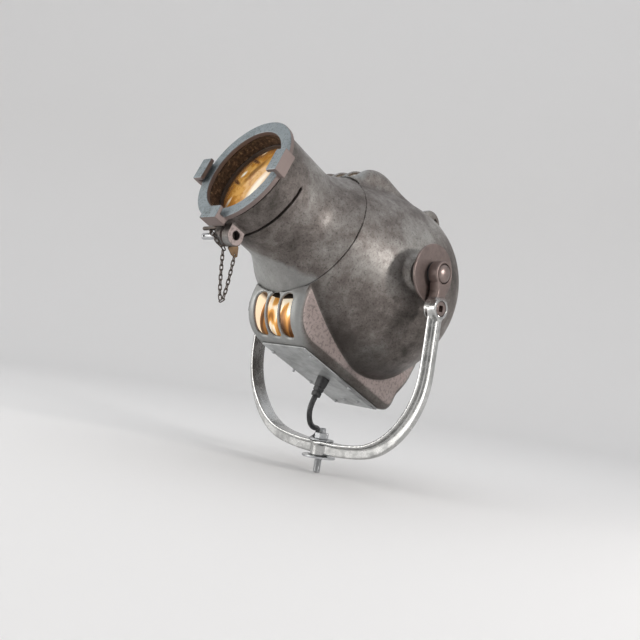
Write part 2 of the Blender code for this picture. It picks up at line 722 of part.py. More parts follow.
def lens_group(shop):
    """The tube that slides for focus, its front ring with three frame runners, and the lens."""
    outer = snout_inner_radius() - TUBE_CLEARANCE
    inner = outer - TUBE_WALL
    ring_back = RING_FRONT_AT - RING_THICKNESS
    tube = [
        (outer, ring_back - FIT_GAP),
        (outer, TUBE_REAR_AT),
        (inner, TUBE_REAR_AT),
        (inner, LENS_RIM_AT - LENS_EDGE / 2 - 0.003),
        (inner - 0.0025, LENS_RIM_AT - LENS_EDGE / 2 - 0.003),
        (inner - 0.0025, LENS_RIM_AT - LENS_EDGE / 2 - FIT_GAP),
        (inner, LENS_RIM_AT - LENS_EDGE / 2 - FIT_GAP),
        (inner, ring_back - FIT_GAP),
    ]
    item = part(shop, "lens_tube", turned_mesh("lens_tube", tube, closed=True), "dark_steel", shop.lamp)
    smooth(item)

    ring = ring_profile(RING_RADIUS, inner, RING_THICKNESS, RING_FRONT_AT - RING_THICKNESS / 2)
    front = part(
        shop, "front_ring", turned_mesh("front_ring", ring, closed=True), "bare_aluminium", shop.lamp
    )
    reach_in = RING_RADIUS + 0.006 - RUNNER_REACH
    lip_front = RING_FRONT_AT + RUNNER_PROUD
    for number, turn in enumerate((0, 180, -90), start=1):
        # The runner's section in (outwards, forward): root, wall and inward lip.
        section = [
            (RING_RADIUS - 0.004, ring_back),
            (RING_RADIUS + 0.006, ring_back),
            (RING_RADIUS + 0.006, lip_front),
            (reach_in, lip_front),
            (reach_in, lip_front - RUNNER_LIP),
            (RING_RADIUS + 0.006 - RUNNER_ROOT, lip_front - RUNNER_LIP),
            (RING_RADIUS + 0.006 - RUNNER_ROOT, RING_FRONT_AT - 0.001),
            (RING_RADIUS - 0.004, RING_FRONT_AT - 0.001),
        ]
        mesh = outline_mesh(f"runner_{number}", section, RUNNER_WIDTH, Matrix(
            ((1, 0, 0, 0), (0, 0, -1, 0), (0, 1, 0, 0), (0, 0, 0, 1))
        ))
        mesh.transform(Matrix.Rotation(math.radians(turn), 4, "Z"))
        boolean(front, cutter(shop, f"frame_runner_{number}", mesh, shop.lamp), "UNION")
    smooth(front)

    rim = inner - FIT_GAP
    lens = [(0.0, LENS_RIM_AT + LENS_EDGE / 2 + LENS_CROWN)]
    for share in np.linspace(0, 1, 5)[1:]:
        lens.append((rim * share, LENS_RIM_AT + LENS_EDGE / 2 + LENS_CROWN * (1 - share**2)))
    lens += [(rim, LENS_RIM_AT - LENS_EDGE / 2), (0.0, LENS_RIM_AT - LENS_EDGE / 2)]
    glass = part(shop, "lens", turned_mesh("lens", lens), "lens_glass", shop.lamp)
    smooth(glass)
    clip = ring_profile(rim, rim - 0.0022, 0.0018, LENS_RIM_AT + LENS_EDGE / 2 + 0.0024)
    retainer = part(
        shop,
        "lens_retaining_ring",
        turned_mesh("lens_retaining_ring", clip, closed=True),
        "zinc_steel",
        shop.lamp,
    )
    smooth(retainer)


def yoke_curve():
    """The inner surface of the bow's right half, from the middle to the arm boss, in (side, height)."""
    rise = PIVOT_HEIGHT - ARM_BOSS_DROP - 0.3 * ARM_BOSS_RADIUS - YOKE_FLOOR
    return smooth_path(
        [(YOKE_INSIDE * side, YOKE_FLOOR + rise * height) for side, height in BOW_SHAPE],
        BOW_SPACING,
    )


def beside(path, offsets):
    """The path moved outwards, to its right-hand side, by the offset at each point."""
    ahead = np.gradient(path, axis=0)
    ahead /= np.linalg.norm(ahead, axis=1)[:, None]
    outward = np.stack([ahead[:, 1], -ahead[:, 0]], axis=1)
    return path + outward * np.asarray(offsets)[:, None]


def rib_offsets(path):
    """How far the rib stands out from the bow's inner surface; it runs out inside the arm boss."""
    share = np.clip((path[:, 1] - YOKE_FLOOR) / RIB_TAPER_HEIGHT, 0, 1)
    offsets = YOKE_RIB_BOTTOM + (YOKE_RIB_TOP - YOKE_RIB_BOTTOM) * share
    offsets[-1] = RIB_RUN_OUT
    return offsets


def bow_mesh(name):
    """The bow as a T section, flange inside and rib outside, carried from arm to arm."""
    half = yoke_curve()
    rib = rib_offsets(half)
    path = np.vstack([half[:0:-1] * (-1, 1), half])
    rib = np.concatenate([rib[:0:-1], rib])
    flange = np.full(len(path), YOKE_FLANGE_THICKNESS)
    flat = np.zeros(len(path))
    wide, slim = YOKE_FLANGE_WIDTH / 2, YOKE_RIB_WIDTH / 2
    corners = (
        (flat, -wide), (flange, -wide), (flange, -slim), (rib, -slim),
        (rib, slim), (flange, slim), (flange, wide), (flat, wide),
    )
    rings = []
    for offsets, depth in corners:
        place = beside(path, offsets)
        rings.append(np.stack([place[:, 0], np.full(len(path), depth), place[:, 1]], axis=1))
    points = np.stack(rings, axis=1).reshape(-1, 3)
    sides = len(corners)
    faces = [list(range(sides)), list(range(len(points) - 1, len(points) - sides - 1, -1))]
    for station in range(len(path) - 1):
        for corner in range(sides):
            here, beyond = station * sides + corner, station * sides + (corner + 1) % sides
            faces.append([here, here + sides, beyond + sides, beyond])
    bm = bmesh.new()
    verts = [bm.verts.new(point) for point in points]
    for face in faces:
        bm.faces.new([verts[i] for i in face])
    bmesh.ops.recalc_face_normals(bm, faces=bm.faces)
    return from_bmesh(name, bm)


# A drawing in (Y, height) stood up in the YZ plane, thickened along X.
SIDEWAYS = Matrix(((0, 0, 1, 0), (1, 0, 0, 0), (0, 1, 0, 0), (0, 0, 0, 1)))


def link_outline():
    """The arm end in (Y, height): the lower boss, a waisted link and the pivot eye."""
    low, high = PIVOT_HEIGHT - ARM_BOSS_DROP, PIVOT_HEIGHT
    right = [(0.7 * ARM_BOSS_RADIUS, low), (0.7 * ARM_BOSS_RADIUS, low + 0.6 * ARM_BOSS_RADIUS)]
    right.append((LINK_WAIST + 0.0008, low + 0.0150))
    right.append((LINK_WAIST, low + 0.0215))
    right.append((LINK_WAIST + 0.0012, high - 0.0170))
    for angle in np.linspace(-50, 90, 10):
        a = math.radians(angle)
        right.append((EYE_RADIUS * math.cos(a), high + EYE_RADIUS * math.sin(a)))
    return [*right, *[(-y, z) for y, z in right[-2::-1]]]


def eye_inner_face():
    return DISC_OUTER_FACE + PIVOT_WASHER_THICKNESS + 2 * FIT_GAP


def yoke(shop):
    """The cast bow: a wide inner flange, an outer rib, the centre boss and the two arm ends."""
    bow = part(shop, "yoke", bow_mesh("yoke"), "polished_aluminium", shop.ground)
    boss_top = YOKE_FLOOR - YOKE_FLANGE_THICKNESS / 2
    boss = rod_mesh("boss", YOKE_BOSS_RADIUS, (0, 0, FOOT_THICKNESS + FIT_GAP), (0, 0, boss_top), 32)
    boolean(bow, cutter(shop, "bow_boss", boss, shop.ground), "UNION")
    low = PIVOT_HEIGHT - ARM_BOSS_DROP
    for side, name in ((1, "near"), (-1, "far")):
        thickness = EYE_OUTER_FACE - eye_inner_face()
        link = outline_mesh(f"{name}_link", link_outline(), thickness, SIDEWAYS)
        link.transform(Matrix.Translation((side * (EYE_OUTER_FACE + eye_inner_face()) / 2, 0, 0)))
        boolean(bow, cutter(shop, f"{name}_arm_link", link, shop.ground), "UNION")
        inner_face = DISC_OUTER_FACE + 0.0012
        arm_boss = rod_mesh(
            "arm_boss", ARM_BOSS_RADIUS, (side * inner_face, 0, low), (side * ARM_OUTER_FACE, 0, low), 32
        )
        boolean(bow, cutter(shop, f"{name}_arm_boss", arm_boss, shop.ground), "UNION")
        pocket = rod_mesh(
            "pocket", SOCKET_SCREW_RADIUS + FIT_GAP, (side * (ARM_OUTER_FACE - 0.012), 0, low), (
                side * 0.19, 0, low
            )
        )
        boolean(bow, cutter(shop, f"{name}_screw_pocket", pocket, shop.ground))
        bore = rod_mesh(
            "bore", PIVOT_SHANK_RADIUS + FIT_GAP, (side * 0.14, 0, PIVOT_HEIGHT), (
                side * 0.19, 0, PIVOT_HEIGHT
            )
        )
        boolean(bow, cutter(shop, f"{name}_eye_bore", bore, shop.ground))
        seat = rod_mesh(
            "seat",
            PIVOT_HEAD_RADIUS + FIT_GAP,
            (side * (EYE_OUTER_FACE - 0.004), 0, PIVOT_HEIGHT),
            (side * 0.19, 0, PIVOT_HEIGHT),
        )
        boolean(bow, cutter(shop, f"{name}_eye_seat", seat, shop.ground))
    stud_bore = rod_mesh("stud_bore", STUD_RADIUS + FIT_GAP, (0, 0, -0.01), (0, 0, 0.06), 20)
    boolean(bow, cutter(shop, "stud_bore", stud_bore, shop.ground))
    smooth(bow)
    return bow


def socket_screws(shop):
    """The square-socket screws in the arm bosses."""
    low = PIVOT_HEIGHT - ARM_BOSS_DROP
    for side, name in ((1, "near"), (-1, "far")):
        start = side * (ARM_OUTER_FACE - 0.012 + FIT_GAP)
        end = side * (ARM_OUTER_FACE - 0.0006)
        screw = rod_mesh(f"{name}_socket_screw", SOCKET_SCREW_RADIUS, (start, 0, low), (end, 0, low))
        item = part(shop, f"{name}_socket_screw", screw, "pivot_steel", shop.ground)
        half = SOCKET_SQUARE / 2
        spans = sorted((side * (ARM_OUTER_FACE - 0.008), side * 0.19))
        square = box_mesh("square", (spans[0], -half, low - half), (spans[1], half, low + half))
        boolean(item, cutter(shop, f"{name}_square_socket", square, shop.ground))
        smooth(item)


def pivots(shop):
    """On each side a spacer, a friction disc, a washer and the domed pivot bolt."""
    for side, name in ((1, "near"), (-1, "far")):
        turn = ALONG_X if side > 0 else Matrix.Rotation(math.pi, 4, "Z") @ ALONG_X
        bore = PIVOT_SHANK_RADIUS + FIT_GAP
        disc_inner = DISC_OUTER_FACE - DISC_THICKNESS
        spacer_span = (HOUSING_BOSS_FACE + FIT_GAP, disc_inner - FIT_GAP)
        middle = sum(spacer_span) / 2
        spacer = ring_profile(SPACER_RADIUS, bore, spacer_span[1] - spacer_span[0], middle)
        mesh = turned_mesh("spacer", spacer, SMALL_STEPS, True, turn)
        item = part(shop, f"{name}_pivot_spacer", mesh, "zinc_steel", shop.lamp)
        smooth(item)
        edge = 0.0008
        disc = [
            (DISC_RADIUS - edge, DISC_OUTER_FACE),
            (DISC_RADIUS, DISC_OUTER_FACE - edge),
            (DISC_RADIUS, disc_inner + edge),
            (DISC_RADIUS - edge, disc_inner),
            (bore, disc_inner),
            (bore, DISC_OUTER_FACE),
        ]
        mesh = turned_mesh("disc", disc, ROUND_STEPS, True, turn)
        item = part(shop, f"{name}_friction_disc", mesh, "pivot_steel", shop.lamp)
        smooth(item)
        washer_middle = DISC_OUTER_FACE + FIT_GAP + PIVOT_WASHER_THICKNESS / 2
        washer = ring_profile(EYE_RADIUS - 0.001, bore, PIVOT_WASHER_THICKNESS, washer_middle)
        mesh = turned_mesh("washer", washer, SMALL_STEPS, True, turn)
        item = part(shop, f"{name}_fibre_washer", mesh, "black_plastic", shop.lamp)
        smooth(item)
        head_base = EYE_OUTER_FACE - 0.004 + FIT_GAP
        bolt = [(0.0, head_base + PIVOT_HEAD_RADIUS * 0.62)]
        for angle in np.linspace(75, 0, 4):
            a = math.radians(angle)
            bolt.append(
                (
                    PIVOT_HEAD_RADIUS * math.cos(a),
                    head_base + 0.001 + PIVOT_HEAD_RADIUS * 0.55 * math.sin(a),
                ),
            )
        bolt += [
            (PIVOT_HEAD_RADIUS, head_base),
            (PIVOT_SHANK_RADIUS, head_base),
            (PIVOT_SHANK_RADIUS, HOUSING_BOSS_FACE - PIVOT_BOLT_GRIP),
            (0.0, HOUSING_BOSS_FACE - PIVOT_BOLT_GRIP),
        ]
        mesh = turned_mesh("bolt", bolt, SMALL_STEPS, turn=turn)
        item = part(shop, f"{name}_pivot_bolt", mesh, "pivot_steel", shop.lamp)
        smooth(item)


def foot(shop):
    """The washer under the yoke, the stud, and the washer and nut that clamp the yoke."""
    bore = STUD_RADIUS + FIT_GAP
    ring = ring_profile(FOOT_RADIUS, bore, FOOT_THICKNESS, FOOT_THICKNESS / 2)
    item = part(
        shop, "foot_washer", turned_mesh("foot_washer", ring, ROUND_STEPS, True), "zinc_steel", shop.ground
    )
    smooth(item)
    washer_low = YOKE_FLOOR + FIT_GAP
    washer_ring = ring_profile(WASHER_RADIUS, bore, WASHER_THICKNESS, washer_low + WASHER_THICKNESS / 2)
    item = part(
        shop, "yoke_washer", turned_mesh("yoke_washer", washer_ring, 32, True), "zinc_steel", shop.ground
    )
    smooth(item)
    nut_low = washer_low + WASHER_THICKNESS + FIT_GAP
    corner = NUT_ACROSS_FLATS / 2 / math.cos(math.pi / 6)
    nut = rod_mesh("yoke_nut", corner, (0, 0, nut_low), (0, 0, nut_low + NUT_HEIGHT), 6)
    item = part(shop, "yoke_nut", nut, "zinc_steel", shop.ground)
    hole = rod_mesh("nut_bore", bore, (0, 0, nut_low - 0.01), (0, 0, nut_low + 0.03))
    boolean(item, cutter(shop, "nut_bore", hole, shop.ground))
    smooth(item)
    top = nut_low + NUT_HEIGHT + 0.0065
    stud = [
        (0.0, top),
        (STUD_RADIUS - 0.001, top),
        (STUD_RADIUS, top - 0.001),
        (STUD_RADIUS, -STUD_BELOW + 0.001),
        (STUD_RADIUS - 0.001, -STUD_BELOW),
        (0.0, -STUD_BELOW),
    ]
    item = part(shop, "pivot_stud", turned_mesh("pivot_stud", stud, SMALL_STEPS), "zinc_steel", shop.ground)
    smooth(item)


def plate_top():
    return -BOX_BOTTOM - FIT_GAP


def base_plate(shop):
    """The lamp tray's flat cover with its screws, and the boot where the lead enters."""
    low = (-PLATE_HALF_WIDTH, plate_top() - PLATE_THICKNESS, PLATE_REAR_AT)
    high = (PLATE_HALF_WIDTH, plate_top(), PLATE_FRONT_AT)
    item = part(shop, "base_plate", box_mesh("base_plate", low, high), "sheet_steel", shop.lamp)
    entry = rod_mesh(
        "lead_entry", CORD_RADIUS + 0.0005, (BOOT_SIDE, -0.17, BOOT_AT), (BOOT_SIDE, -0.12, BOOT_AT), 12
    )
    boolean(item, cutter(shop, "lead_entry", entry, shop.lamp))
    under = plate_top() - PLATE_THICKNESS - FIT_GAP
    for number, (side, along) in enumerate(plate_screw_places(), start=1):
        profile = [
            (0.0, 0.0018),
            (0.0018, 0.0014),
            (SCREW_HEAD_RADIUS, 0.0004),
            (SCREW_HEAD_RADIUS, 0.0),
            (0.0, 0.0),
        ]
        head = turned_mesh("base_screw", profile, 12, turn=Matrix.Rotation(math.pi / 2, 4, "X"))
        head.transform(Matrix.Translation((side, under, along)))
        item = part(shop, f"base_screw_{number}", head, "zinc_steel", shop.lamp)
        smooth(item)

    root, tip = BOOT_ROOT, BOOT_TIP
    bm = bmesh.new()
    end = under - BOOT_LENGTH
    bmesh.ops.create_cube(bm, size=2)
    for vertex in bm.verts:
        half = root if vertex.co.y > 0 else tip
        vertex.co.x = BOOT_SIDE + half * vertex.co.x
        vertex.co.z = BOOT_AT + half * vertex.co.z
        vertex.co.y = under if vertex.co.y > 0 else end
    boot = part(shop, "cord_boot", from_bmesh("cord_boot", bm), "black_plastic", shop.lamp)
    round_edges(boot, 0.0018, 2)
    smooth(boot)


def plate_screw_places():
    """(side, along) of each screw: two rows down the plate and three at its rear."""
    rows = [(side * PLATE_SCREW_SIDE, along) for side in (-1, 1) for along in (0.022, -0.062)]
    rear = PLATE_REAR_AT + 0.0065
    return [*rows, (-0.0075, -0.1075), (0.0183, -0.1075), (0.034, rear), (-0.034, rear)]


def lamp_inside(shop):
    """What the housing holds: lampholder, lamp, reflector and its bracket, gate and vent baffles."""
    seat = plate_top() + FIT_GAP
    holder = [
        (0.0, HOLDER_TOP),
        (HOLDER_RADIUS - 0.002, HOLDER_TOP),
        (HOLDER_RADIUS, HOLDER_TOP - 0.002),
        (HOLDER_RADIUS, seat + 0.006),
        (HOLDER_RADIUS + 0.006, seat + 0.005),
        (HOLDER_RADIUS + 0.006, seat),
        (0.0, seat),
    ]
    upright = Matrix.Translation((0, 0, BULB_AT)) @ Matrix.Rotation(-math.pi / 2, 4, "X")
    item = part(
        shop,
        "lampholder",
        turned_mesh("lampholder", holder, SMALL_STEPS, turn=upright),
        "ceramic",
        shop.lamp,
    )
    smooth(item)
    neck = 0.011
    base = HOLDER_TOP + FIT_GAP
    bulb = []
    for angle in np.linspace(90, -55, 10):
        a = math.radians(angle)
        bulb.append((max(0.0, BULB_RADIUS * math.cos(a)), BULB_RADIUS * math.sin(a)))
    bulb[0] = (0.0, BULB_RADIUS)
    bulb += [(neck, base + 0.010), (neck, base), (0.0, base)]
    item = part(
        shop,
        "lamp_bulb",
        turned_mesh("lamp_bulb", bulb, SMALL_STEPS, turn=upright),
        "bulb_glass",
        shop.lamp,
    )
    smooth(item)

    half = math.asin(REFLECTOR_RIM / REFLECTOR_RADIUS)
    thin = REFLECTOR_RADIUS - SHEET
    face = [(thin * math.sin(a), -thin * math.cos(a)) for a in np.linspace(0, half, 5)]
    back = [
        (REFLECTOR_RADIUS * math.sin(a), -REFLECTOR_RADIUS * math.cos(a)) for a in np.linspace(half, 0, 5)
    ]
    shape = turned_mesh("reflector", [*face, *back], SMALL_STEPS)
    shape.transform(Matrix.Translation((0, 0, BULB_AT)))
    item = part(shop, "reflector", shape, "polished_aluminium", shop.lamp)
    smooth(item)
    behind = BULB_AT - REFLECTOR_RADIUS - FIT_GAP
    low = (-0.011, seat, behind - SHEET)
    upright_sheet = box_mesh("reflector_bracket", low, (0.011, 0.010, behind))
    bracket = part(shop, "reflector_bracket", upright_sheet, "sheet_steel", shop.lamp)
    shelf = box_mesh("shelf", (-0.011, seat, behind - 0.018), (0.011, seat + SHEET, behind - SHEET / 2))
    boolean(bracket, cutter(shop, "bracket_shelf", shelf, shop.lamp), "UNION")

    gate_at = BELL_MOUTH_AT - 0.012
    gate = ring_profile(bell_radius(gate_at + SHEET / 2) - WALL - 2 * FIT_GAP, GATE_RADIUS, SHEET, gate_at)
    item = part(
        shop, "gate_plate", turned_mesh("gate_plate", gate, ROUND_STEPS, True), "dark_steel", shop.lamp
    )
    smooth(item)
    upper = baffle_mesh("upper_baffle", 1, HOOD_TOP - HOOD_ROUND, HOOD_HALF_WIDTH)
    lower = baffle_mesh("lower_baffle", -1, BOX_BOTTOM - CASTING_ROUND, BOX_HALF_WIDTH)
    for mesh in (upper, lower):
        item = part(shop, mesh.name, mesh, "sheet_steel", shop.lamp)
        smooth(item)


def baffle_mesh(name, sign, reach, half_width):
    """A curved sheet standing behind a vent's slots, which lets air pass and stops light."""
    outer, inner = [], []
    start = SLOT_SIDE_STARTS + 0.004
    span_side = reach - start
    along = VENT_FRONT - BAFFLE_SETBACK - BAFFLE_REACH
    for angle in np.linspace(0, math.pi / 2, 7):
        for ring, trim in ((outer, 0.0), (inner, SHEET)):
            side = start + (span_side - trim) * math.sin(angle)
            ring.append((sign * side, along + (BAFFLE_REACH - trim) * math.cos(angle)))
    width = 2 * (half_width - WALL - FIT_GAP)
    return outline_mesh(name, [*outer, *inner[::-1]], width, UP_FORWARD)


def cord_exit():
    """The end of the boot and the direction that the lead leaves it, in world axes."""
    end = plate_top() - PLATE_THICKNESS - FIT_GAP - BOOT_LENGTH - FIT_GAP
    start = LAMP_AXES @ Vector((BOOT_SIDE, end, BOOT_AT))
    down = LAMP_AXES.to_3x3() @ Vector((0, -1, 0))
    return np.array(start), np.array(down)


def clip_radius():
    return CORD_RADIUS + FIT_GAP + CLIP_THICKNESS


def channel_path():
    """The lead's way up the far arm, in the corner behind the rib, from the bow's middle outwards."""
    path = yoke_curve()
    clear = YOKE_FLANGE_THICKNESS + FIT_GAP + clip_radius()
    run = beside(path, np.full(len(path), clear))
    keep = (run[:, 0] > 0.068) & (run[:, 1] < 0.124)
    depth = YOKE_RIB_WIDTH / 2 + FIT_GAP + clip_radius()
    return [(-x, depth, z) for x, z in run[keep]]


def coil_centre():
    return (COIL_SIDE, YOKE_FLANGE_WIDTH / 2 + 0.0012 + coil_outer_radius() + CORD_RADIUS, COIL_HEIGHT)


def coil_outer_radius():
    """The centreline's widest radius."""
    return COIL_MEAN_RADIUS + COIL_STEP * COIL_TURNS / COIL_LAYERS / 2


def coil_points(per_turn=24):
    """A round coil about X: it spirals in and out at a steady rate and climbs a layer at each turn back."""
    per_layer = COIL_TURNS / COIL_LAYERS
    turns = np.arange(0, COIL_TURNS + 0.5 / per_turn, 1 / per_turn)
    turns[-1] = COIL_TURNS
    phase = turns / per_layer
    fold = np.abs((phase + 1) % 2 - 1)
    radius = coil_outer_radius() - COIL_STEP * per_layer * fold
    layer = np.zeros_like(turns)
    for number in range(1, COIL_LAYERS):
        climb = np.clip((turns - number * per_layer) / 0.5 + 0.5, 0, 1)
        layer += climb * climb * (3 - 2 * climb)
    side = COIL_STEP * ((COIL_LAYERS - 1) / 2 - layer)
    angle = 2 * math.pi * turns
    x0, y0, z0 = coil_centre()
    points = np.stack([x0 + side, y0 - radius * np.cos(angle), z0 + radius * np.sin(angle)], axis=1)
    return points


def least_gap(points, radius, skip):
    """The least clear gap between a tube's turns, measured on its points."""
    count = len(points)
    apart = np.linalg.norm(points[:, None] - points[None], axis=2)
    near = np.abs(np.arange(count)[:, None] - np.arange(count)[None]) < skip
    apart[near] = 1.0
    return float(apart.min()) - 2 * radius


def cord_route():
    """The free lead: down from the boot, past the nut, behind the bow and up the far arm to the coil."""
    start, down = cord_exit()
    drop = [
        start,
        start + down * 0.010,
        (0.0041, -0.0335, 0.0626),
        (0.0022, -0.0306, 0.0530),
        (-0.0004, -0.0250, 0.0459),
        (-0.0031, -0.0181, 0.0415),
        (-0.0059, -0.0110, 0.0394),
        (-0.0105, -0.0009, 0.0382),
        (-0.0151, 0.0067, 0.0352),
        (-0.0207, 0.0123, 0.0307),
        (-0.0276, 0.0157, 0.0255),
        (-0.0355, 0.0164, 0.0205),
        (-0.0442, 0.0146, 0.0168),
        (-0.0529, 0.0114, 0.0155),
        (-0.0622, 0.0093, 0.0164),
    ]
    rise = [
        (COIL_SIDE + 0.0003, 0.0125, COIL_HEIGHT - 0.058),
        (COIL_SIDE + 0.0045, 0.0158, COIL_HEIGHT - 0.044),
        (COIL_SIDE + 0.0095, 0.0165, COIL_HEIGHT - 0.030),
    ]
    meets = coil_points()[0] - (0, 0, 2 * CORD_RADIUS + FIT_GAP)
    return smooth_path([*drop, *channel_path(), *rise, meets - (0, 0, 0.008), meets], 2.6 * CORD_RADIUS)


def part_route(route):
    """The route's two stretches: the drop, which the tilting lamp bends, and the run along the yoke."""
    number = next(i for i, point in enumerate(route) if point[0] < DROP_ENDS_AT)
    before, after = route[number - 1], route[number]
    middle = (before + after) / 2
    step = (after - before) / np.linalg.norm(after - before) * FIT_GAP / 2
    return np.vstack([route[:number], middle - step]), np.vstack([middle + step, route[number:]])


def cord(shop):
    """The lead, its coil, the tie round coil and arm, the clips on the rib, and the plug."""
    drop, run = part_route(cord_route())
    for name, points in (("cord_drop", drop), ("cord_run", run)):
        item = part(shop, name, tube_mesh(name, points, CORD_RADIUS), "black_plastic", shop.ground)
        smooth(item, 50)
    cord_clips(shop)
    coil = coil_points()
    print("least gap between the coil's turns, mm:", round(1000 * least_gap(coil, CORD_RADIUS, 12), 2))
    straight = np.array([0, 0, 2 * CORD_RADIUS])
    lead = np.vstack([coil[0] - straight, coil, coil[-1] - (0, 0, COIL_TAIL)])
    item = part(
        shop, "cord_coil", tube_mesh("cord_coil", lead, CORD_RADIUS, 1), "black_plastic", shop.ground
    )
    smooth(item, 50)
    length = sum(np.linalg.norm(np.diff(p, axis=0), axis=1).sum() for p in (drop, run, lead))
    print("lead length, m:", round(float(length), 3))

    plug_start = lead[-1] - (0, 0, FIT_GAP)
    profile = [
        (0.0, 0.0),
        (CORD_RADIUS + 0.0015, 0.0),
        (CORD_RADIUS + 0.0030, -0.45 * PLUG_LENGTH),
        (PLUG_RADIUS - 0.003, -0.6 * PLUG_LENGTH),
        (PLUG_RADIUS, -0.72 * PLUG_LENGTH),
        (PLUG_RADIUS, -PLUG_LENGTH),
        (0.0, -PLUG_LENGTH),
    ]
    plug = turned_mesh("mains_plug", profile, SMALL_STEPS)
    plug.transform(Matrix.Translation(plug_start))
    item = part(shop, "mains_plug", plug, "black_plastic", shop.ground)
    smooth(item)
    low = plug_start[2] - PLUG_LENGTH - FIT_GAP
    for side, name in ((-1, "left"), (1, "right")):
        x = plug_start[0] + side * PLUG_PIN_SPACING / 2
        pin = rod_mesh(
            "pin", PLUG_PIN_RADIUS, (x, plug_start[1], low - PLUG_PIN_LENGTH), (x, plug_start[1], low), 12
        )
        item = part(shop, f"{name}_plug_pin", pin, "zinc_steel", shop.ground)
        smooth(item)

    around = CORD_RADIUS + STRAP_SLACK
    reach_in = coil_outer_radius() - COIL_STEP * COIL_TURNS / COIL_LAYERS
    across = COIL_STEP * (COIL_LAYERS - 1) / 2 + around
    front = -YOKE_FLANGE_WIDTH / 2 - STRAP_SLACK
    rear = coil_centre()[1] - reach_in + around + 0.002
    strap = rounded_frame("coil_strap", (COIL_SIDE - across, front), (COIL_SIDE + across, rear))
    strap.transform(Matrix.Translation((0, 0, COIL_HEIGHT)))
    item = part(shop, "coil_strap", strap, "black_plastic", shop.ground)
    smooth(item)


def cord_clips(shop):
    """Closed clips that hold the lead in the corner between the flange and the rib."""
    path = np.array(channel_path())
    for number, place in enumerate((1, len(path) // 2, len(path) - 2), start=1):
        ahead = Vector(path[place + 1] - path[place - 1]).normalized()
        ring = ring_profile(clip_radius(), CORD_RADIUS + FIT_GAP, CLIP_WIDTH)
        turn = Matrix.Translation(Vector(path[place])) @ ahead.to_track_quat("Z", "Y").to_matrix().to_4x4()
        mesh = turned_mesh("cord_clip", ring, SMALL_STEPS, True, turn)
        item = part(shop, f"cord_clip_{number}", mesh, "black_plastic", shop.ground)
        smooth(item)


def rounded_frame(name, low, high):
    """A strap closed into a rounded rectangle about a vertical axis."""

    def ring(radius):
        points = []
        low_x, low_y = low[0] + STRAP_CORNER, low[1] + STRAP_CORNER
        high_x, high_y = high[0] - STRAP_CORNER, high[1] - STRAP_CORNER
        corners = ((high_x, high_y, 0), (low_x, high_y, 90), (low_x, low_y, 180), (high_x, low_y, 270))
        for centre_x, centre_y, start in corners:
            for angle in np.radians(np.linspace(start, start + 90, 5)):
                points.append((centre_x + radius * math.cos(angle), centre_y + radius * math.sin(angle)))
        return points

    return outline_mesh(name, ring(STRAP_CORNER + STRAP_THICKNESS), STRAP_WIDTH, None, [ring(STRAP_CORNER)])


def chain_round_ear():
    """The chain's way from the frame pin's eye round the front of the ears to their underside."""
    up, forward = frame_pin_place()
    eye = LAMP_AXES @ Vector((-PIN_EYE_AT, up, forward))
    way = [np.array(eye) + (0, -0.006, -0.005)]
    clear = EAR_RADIUS + CHAIN_ROUND_EAR
    for side, angle in ((-0.0165, -15), (-0.0100, -33), (-0.0050, -55), (-0.0030, -78), (-0.0020, -97)):
        a = math.radians(angle)
        point = (side, -EAR_DROP + clear * math.sin(a), EAR_AT + clear * math.cos(a))
        way.append(np.array(LAMP_AXES @ Vector(point)))
    return smooth_path(way, CHAIN_PITCH)


def chain_path():
    """The chain: a free loop from the tab, which is a parabola, then the way round the ears."""
    round_ear = chain_round_ear()
    first, last = np.array(LAMP_AXES @ Vector((0, TAB_TIP_UP, TAB_TIP_AT))), round_ear[-1]
    t = np.linspace(0, 1, 400)[:, None]
    low, high = 0.01, 0.2
    for _ in range(40):
        sag = (low + high) / 2
        points = first + (last - first) * t - np.array([0, 0, 4 * sag]) * t * (1 - t)
        length = np.linalg.norm(np.diff(points, axis=0), axis=1).sum()
        if length > CHAIN_LOOP:
            high = sag
        else:
            low = sag
    return np.vstack([points, round_ear[-2::-1]])


def chain(shop):
    """The retaining chain, as wide as its links, and the tab that it hangs from."""
    path = chain_path()
    run = np.concatenate([[0], np.cumsum(np.linalg.norm(np.diff(path, axis=0), axis=1))])
    at = np.linspace(0, run[-1], round(run[-1] / CHAIN_PITCH) + 1)
    spaced = np.stack([np.interp(at, run, path[:, axis]) for axis in range(3)], axis=1)
    print("chain length, m:", round(float(run[-1]), 3))
    mesh = tube_mesh("chain", spaced, CHAIN_RADIUS)
    mesh.transform(LAMP_AXES.inverted())
    item = part(shop, "chain", mesh, "dark_steel", shop.lamp)
    smooth(item, 60)

    eye_up, eye_along = -EAR_DROP, EAR_AT
    outline = []
    for angle in np.radians(np.linspace(-50, 150, 10)):
        outline.append((eye_up + TAB_RADIUS * math.sin(angle), eye_along + TAB_RADIUS * math.cos(angle)))
    outline += [
        (TAB_TIP_UP + 0.0055, TAB_TIP_AT - 0.0015),
        (TAB_TIP_UP + 0.0025, TAB_TIP_AT + 0.0010),
        (TAB_TIP_UP + 0.0050, TAB_TIP_AT + 0.0045),
    ]
    angles = np.linspace(0, 2 * math.pi, 16, endpoint=False)
    hole = [
        (eye_up + EAR_BORE_RADIUS * math.cos(a), eye_along + EAR_BORE_RADIUS * math.sin(a)) for a in angles
    ]
    tab = outline_mesh("chain_tab", outline, SPLIT_WIDTH - 2 * FIT_GAP, UP_FORWARD, [hole])
    item = part(shop, "chain_tab", tab, "brass", shop.lamp)
    smooth(item)


def main():
    clear_scene()
    shop = Shop()
    foot(shop)
    yoke(shop)
    socket_screws(shop)
    rear_housing(shop)
    front_snout(shop)
    clamp_screw(shop)
    frame_pin(shop)
    lens_group(shop)
    pivots(shop)
    base_plate(shop)
    lamp_inside(shop)
    cord(shop)
    chain(shop)


main()
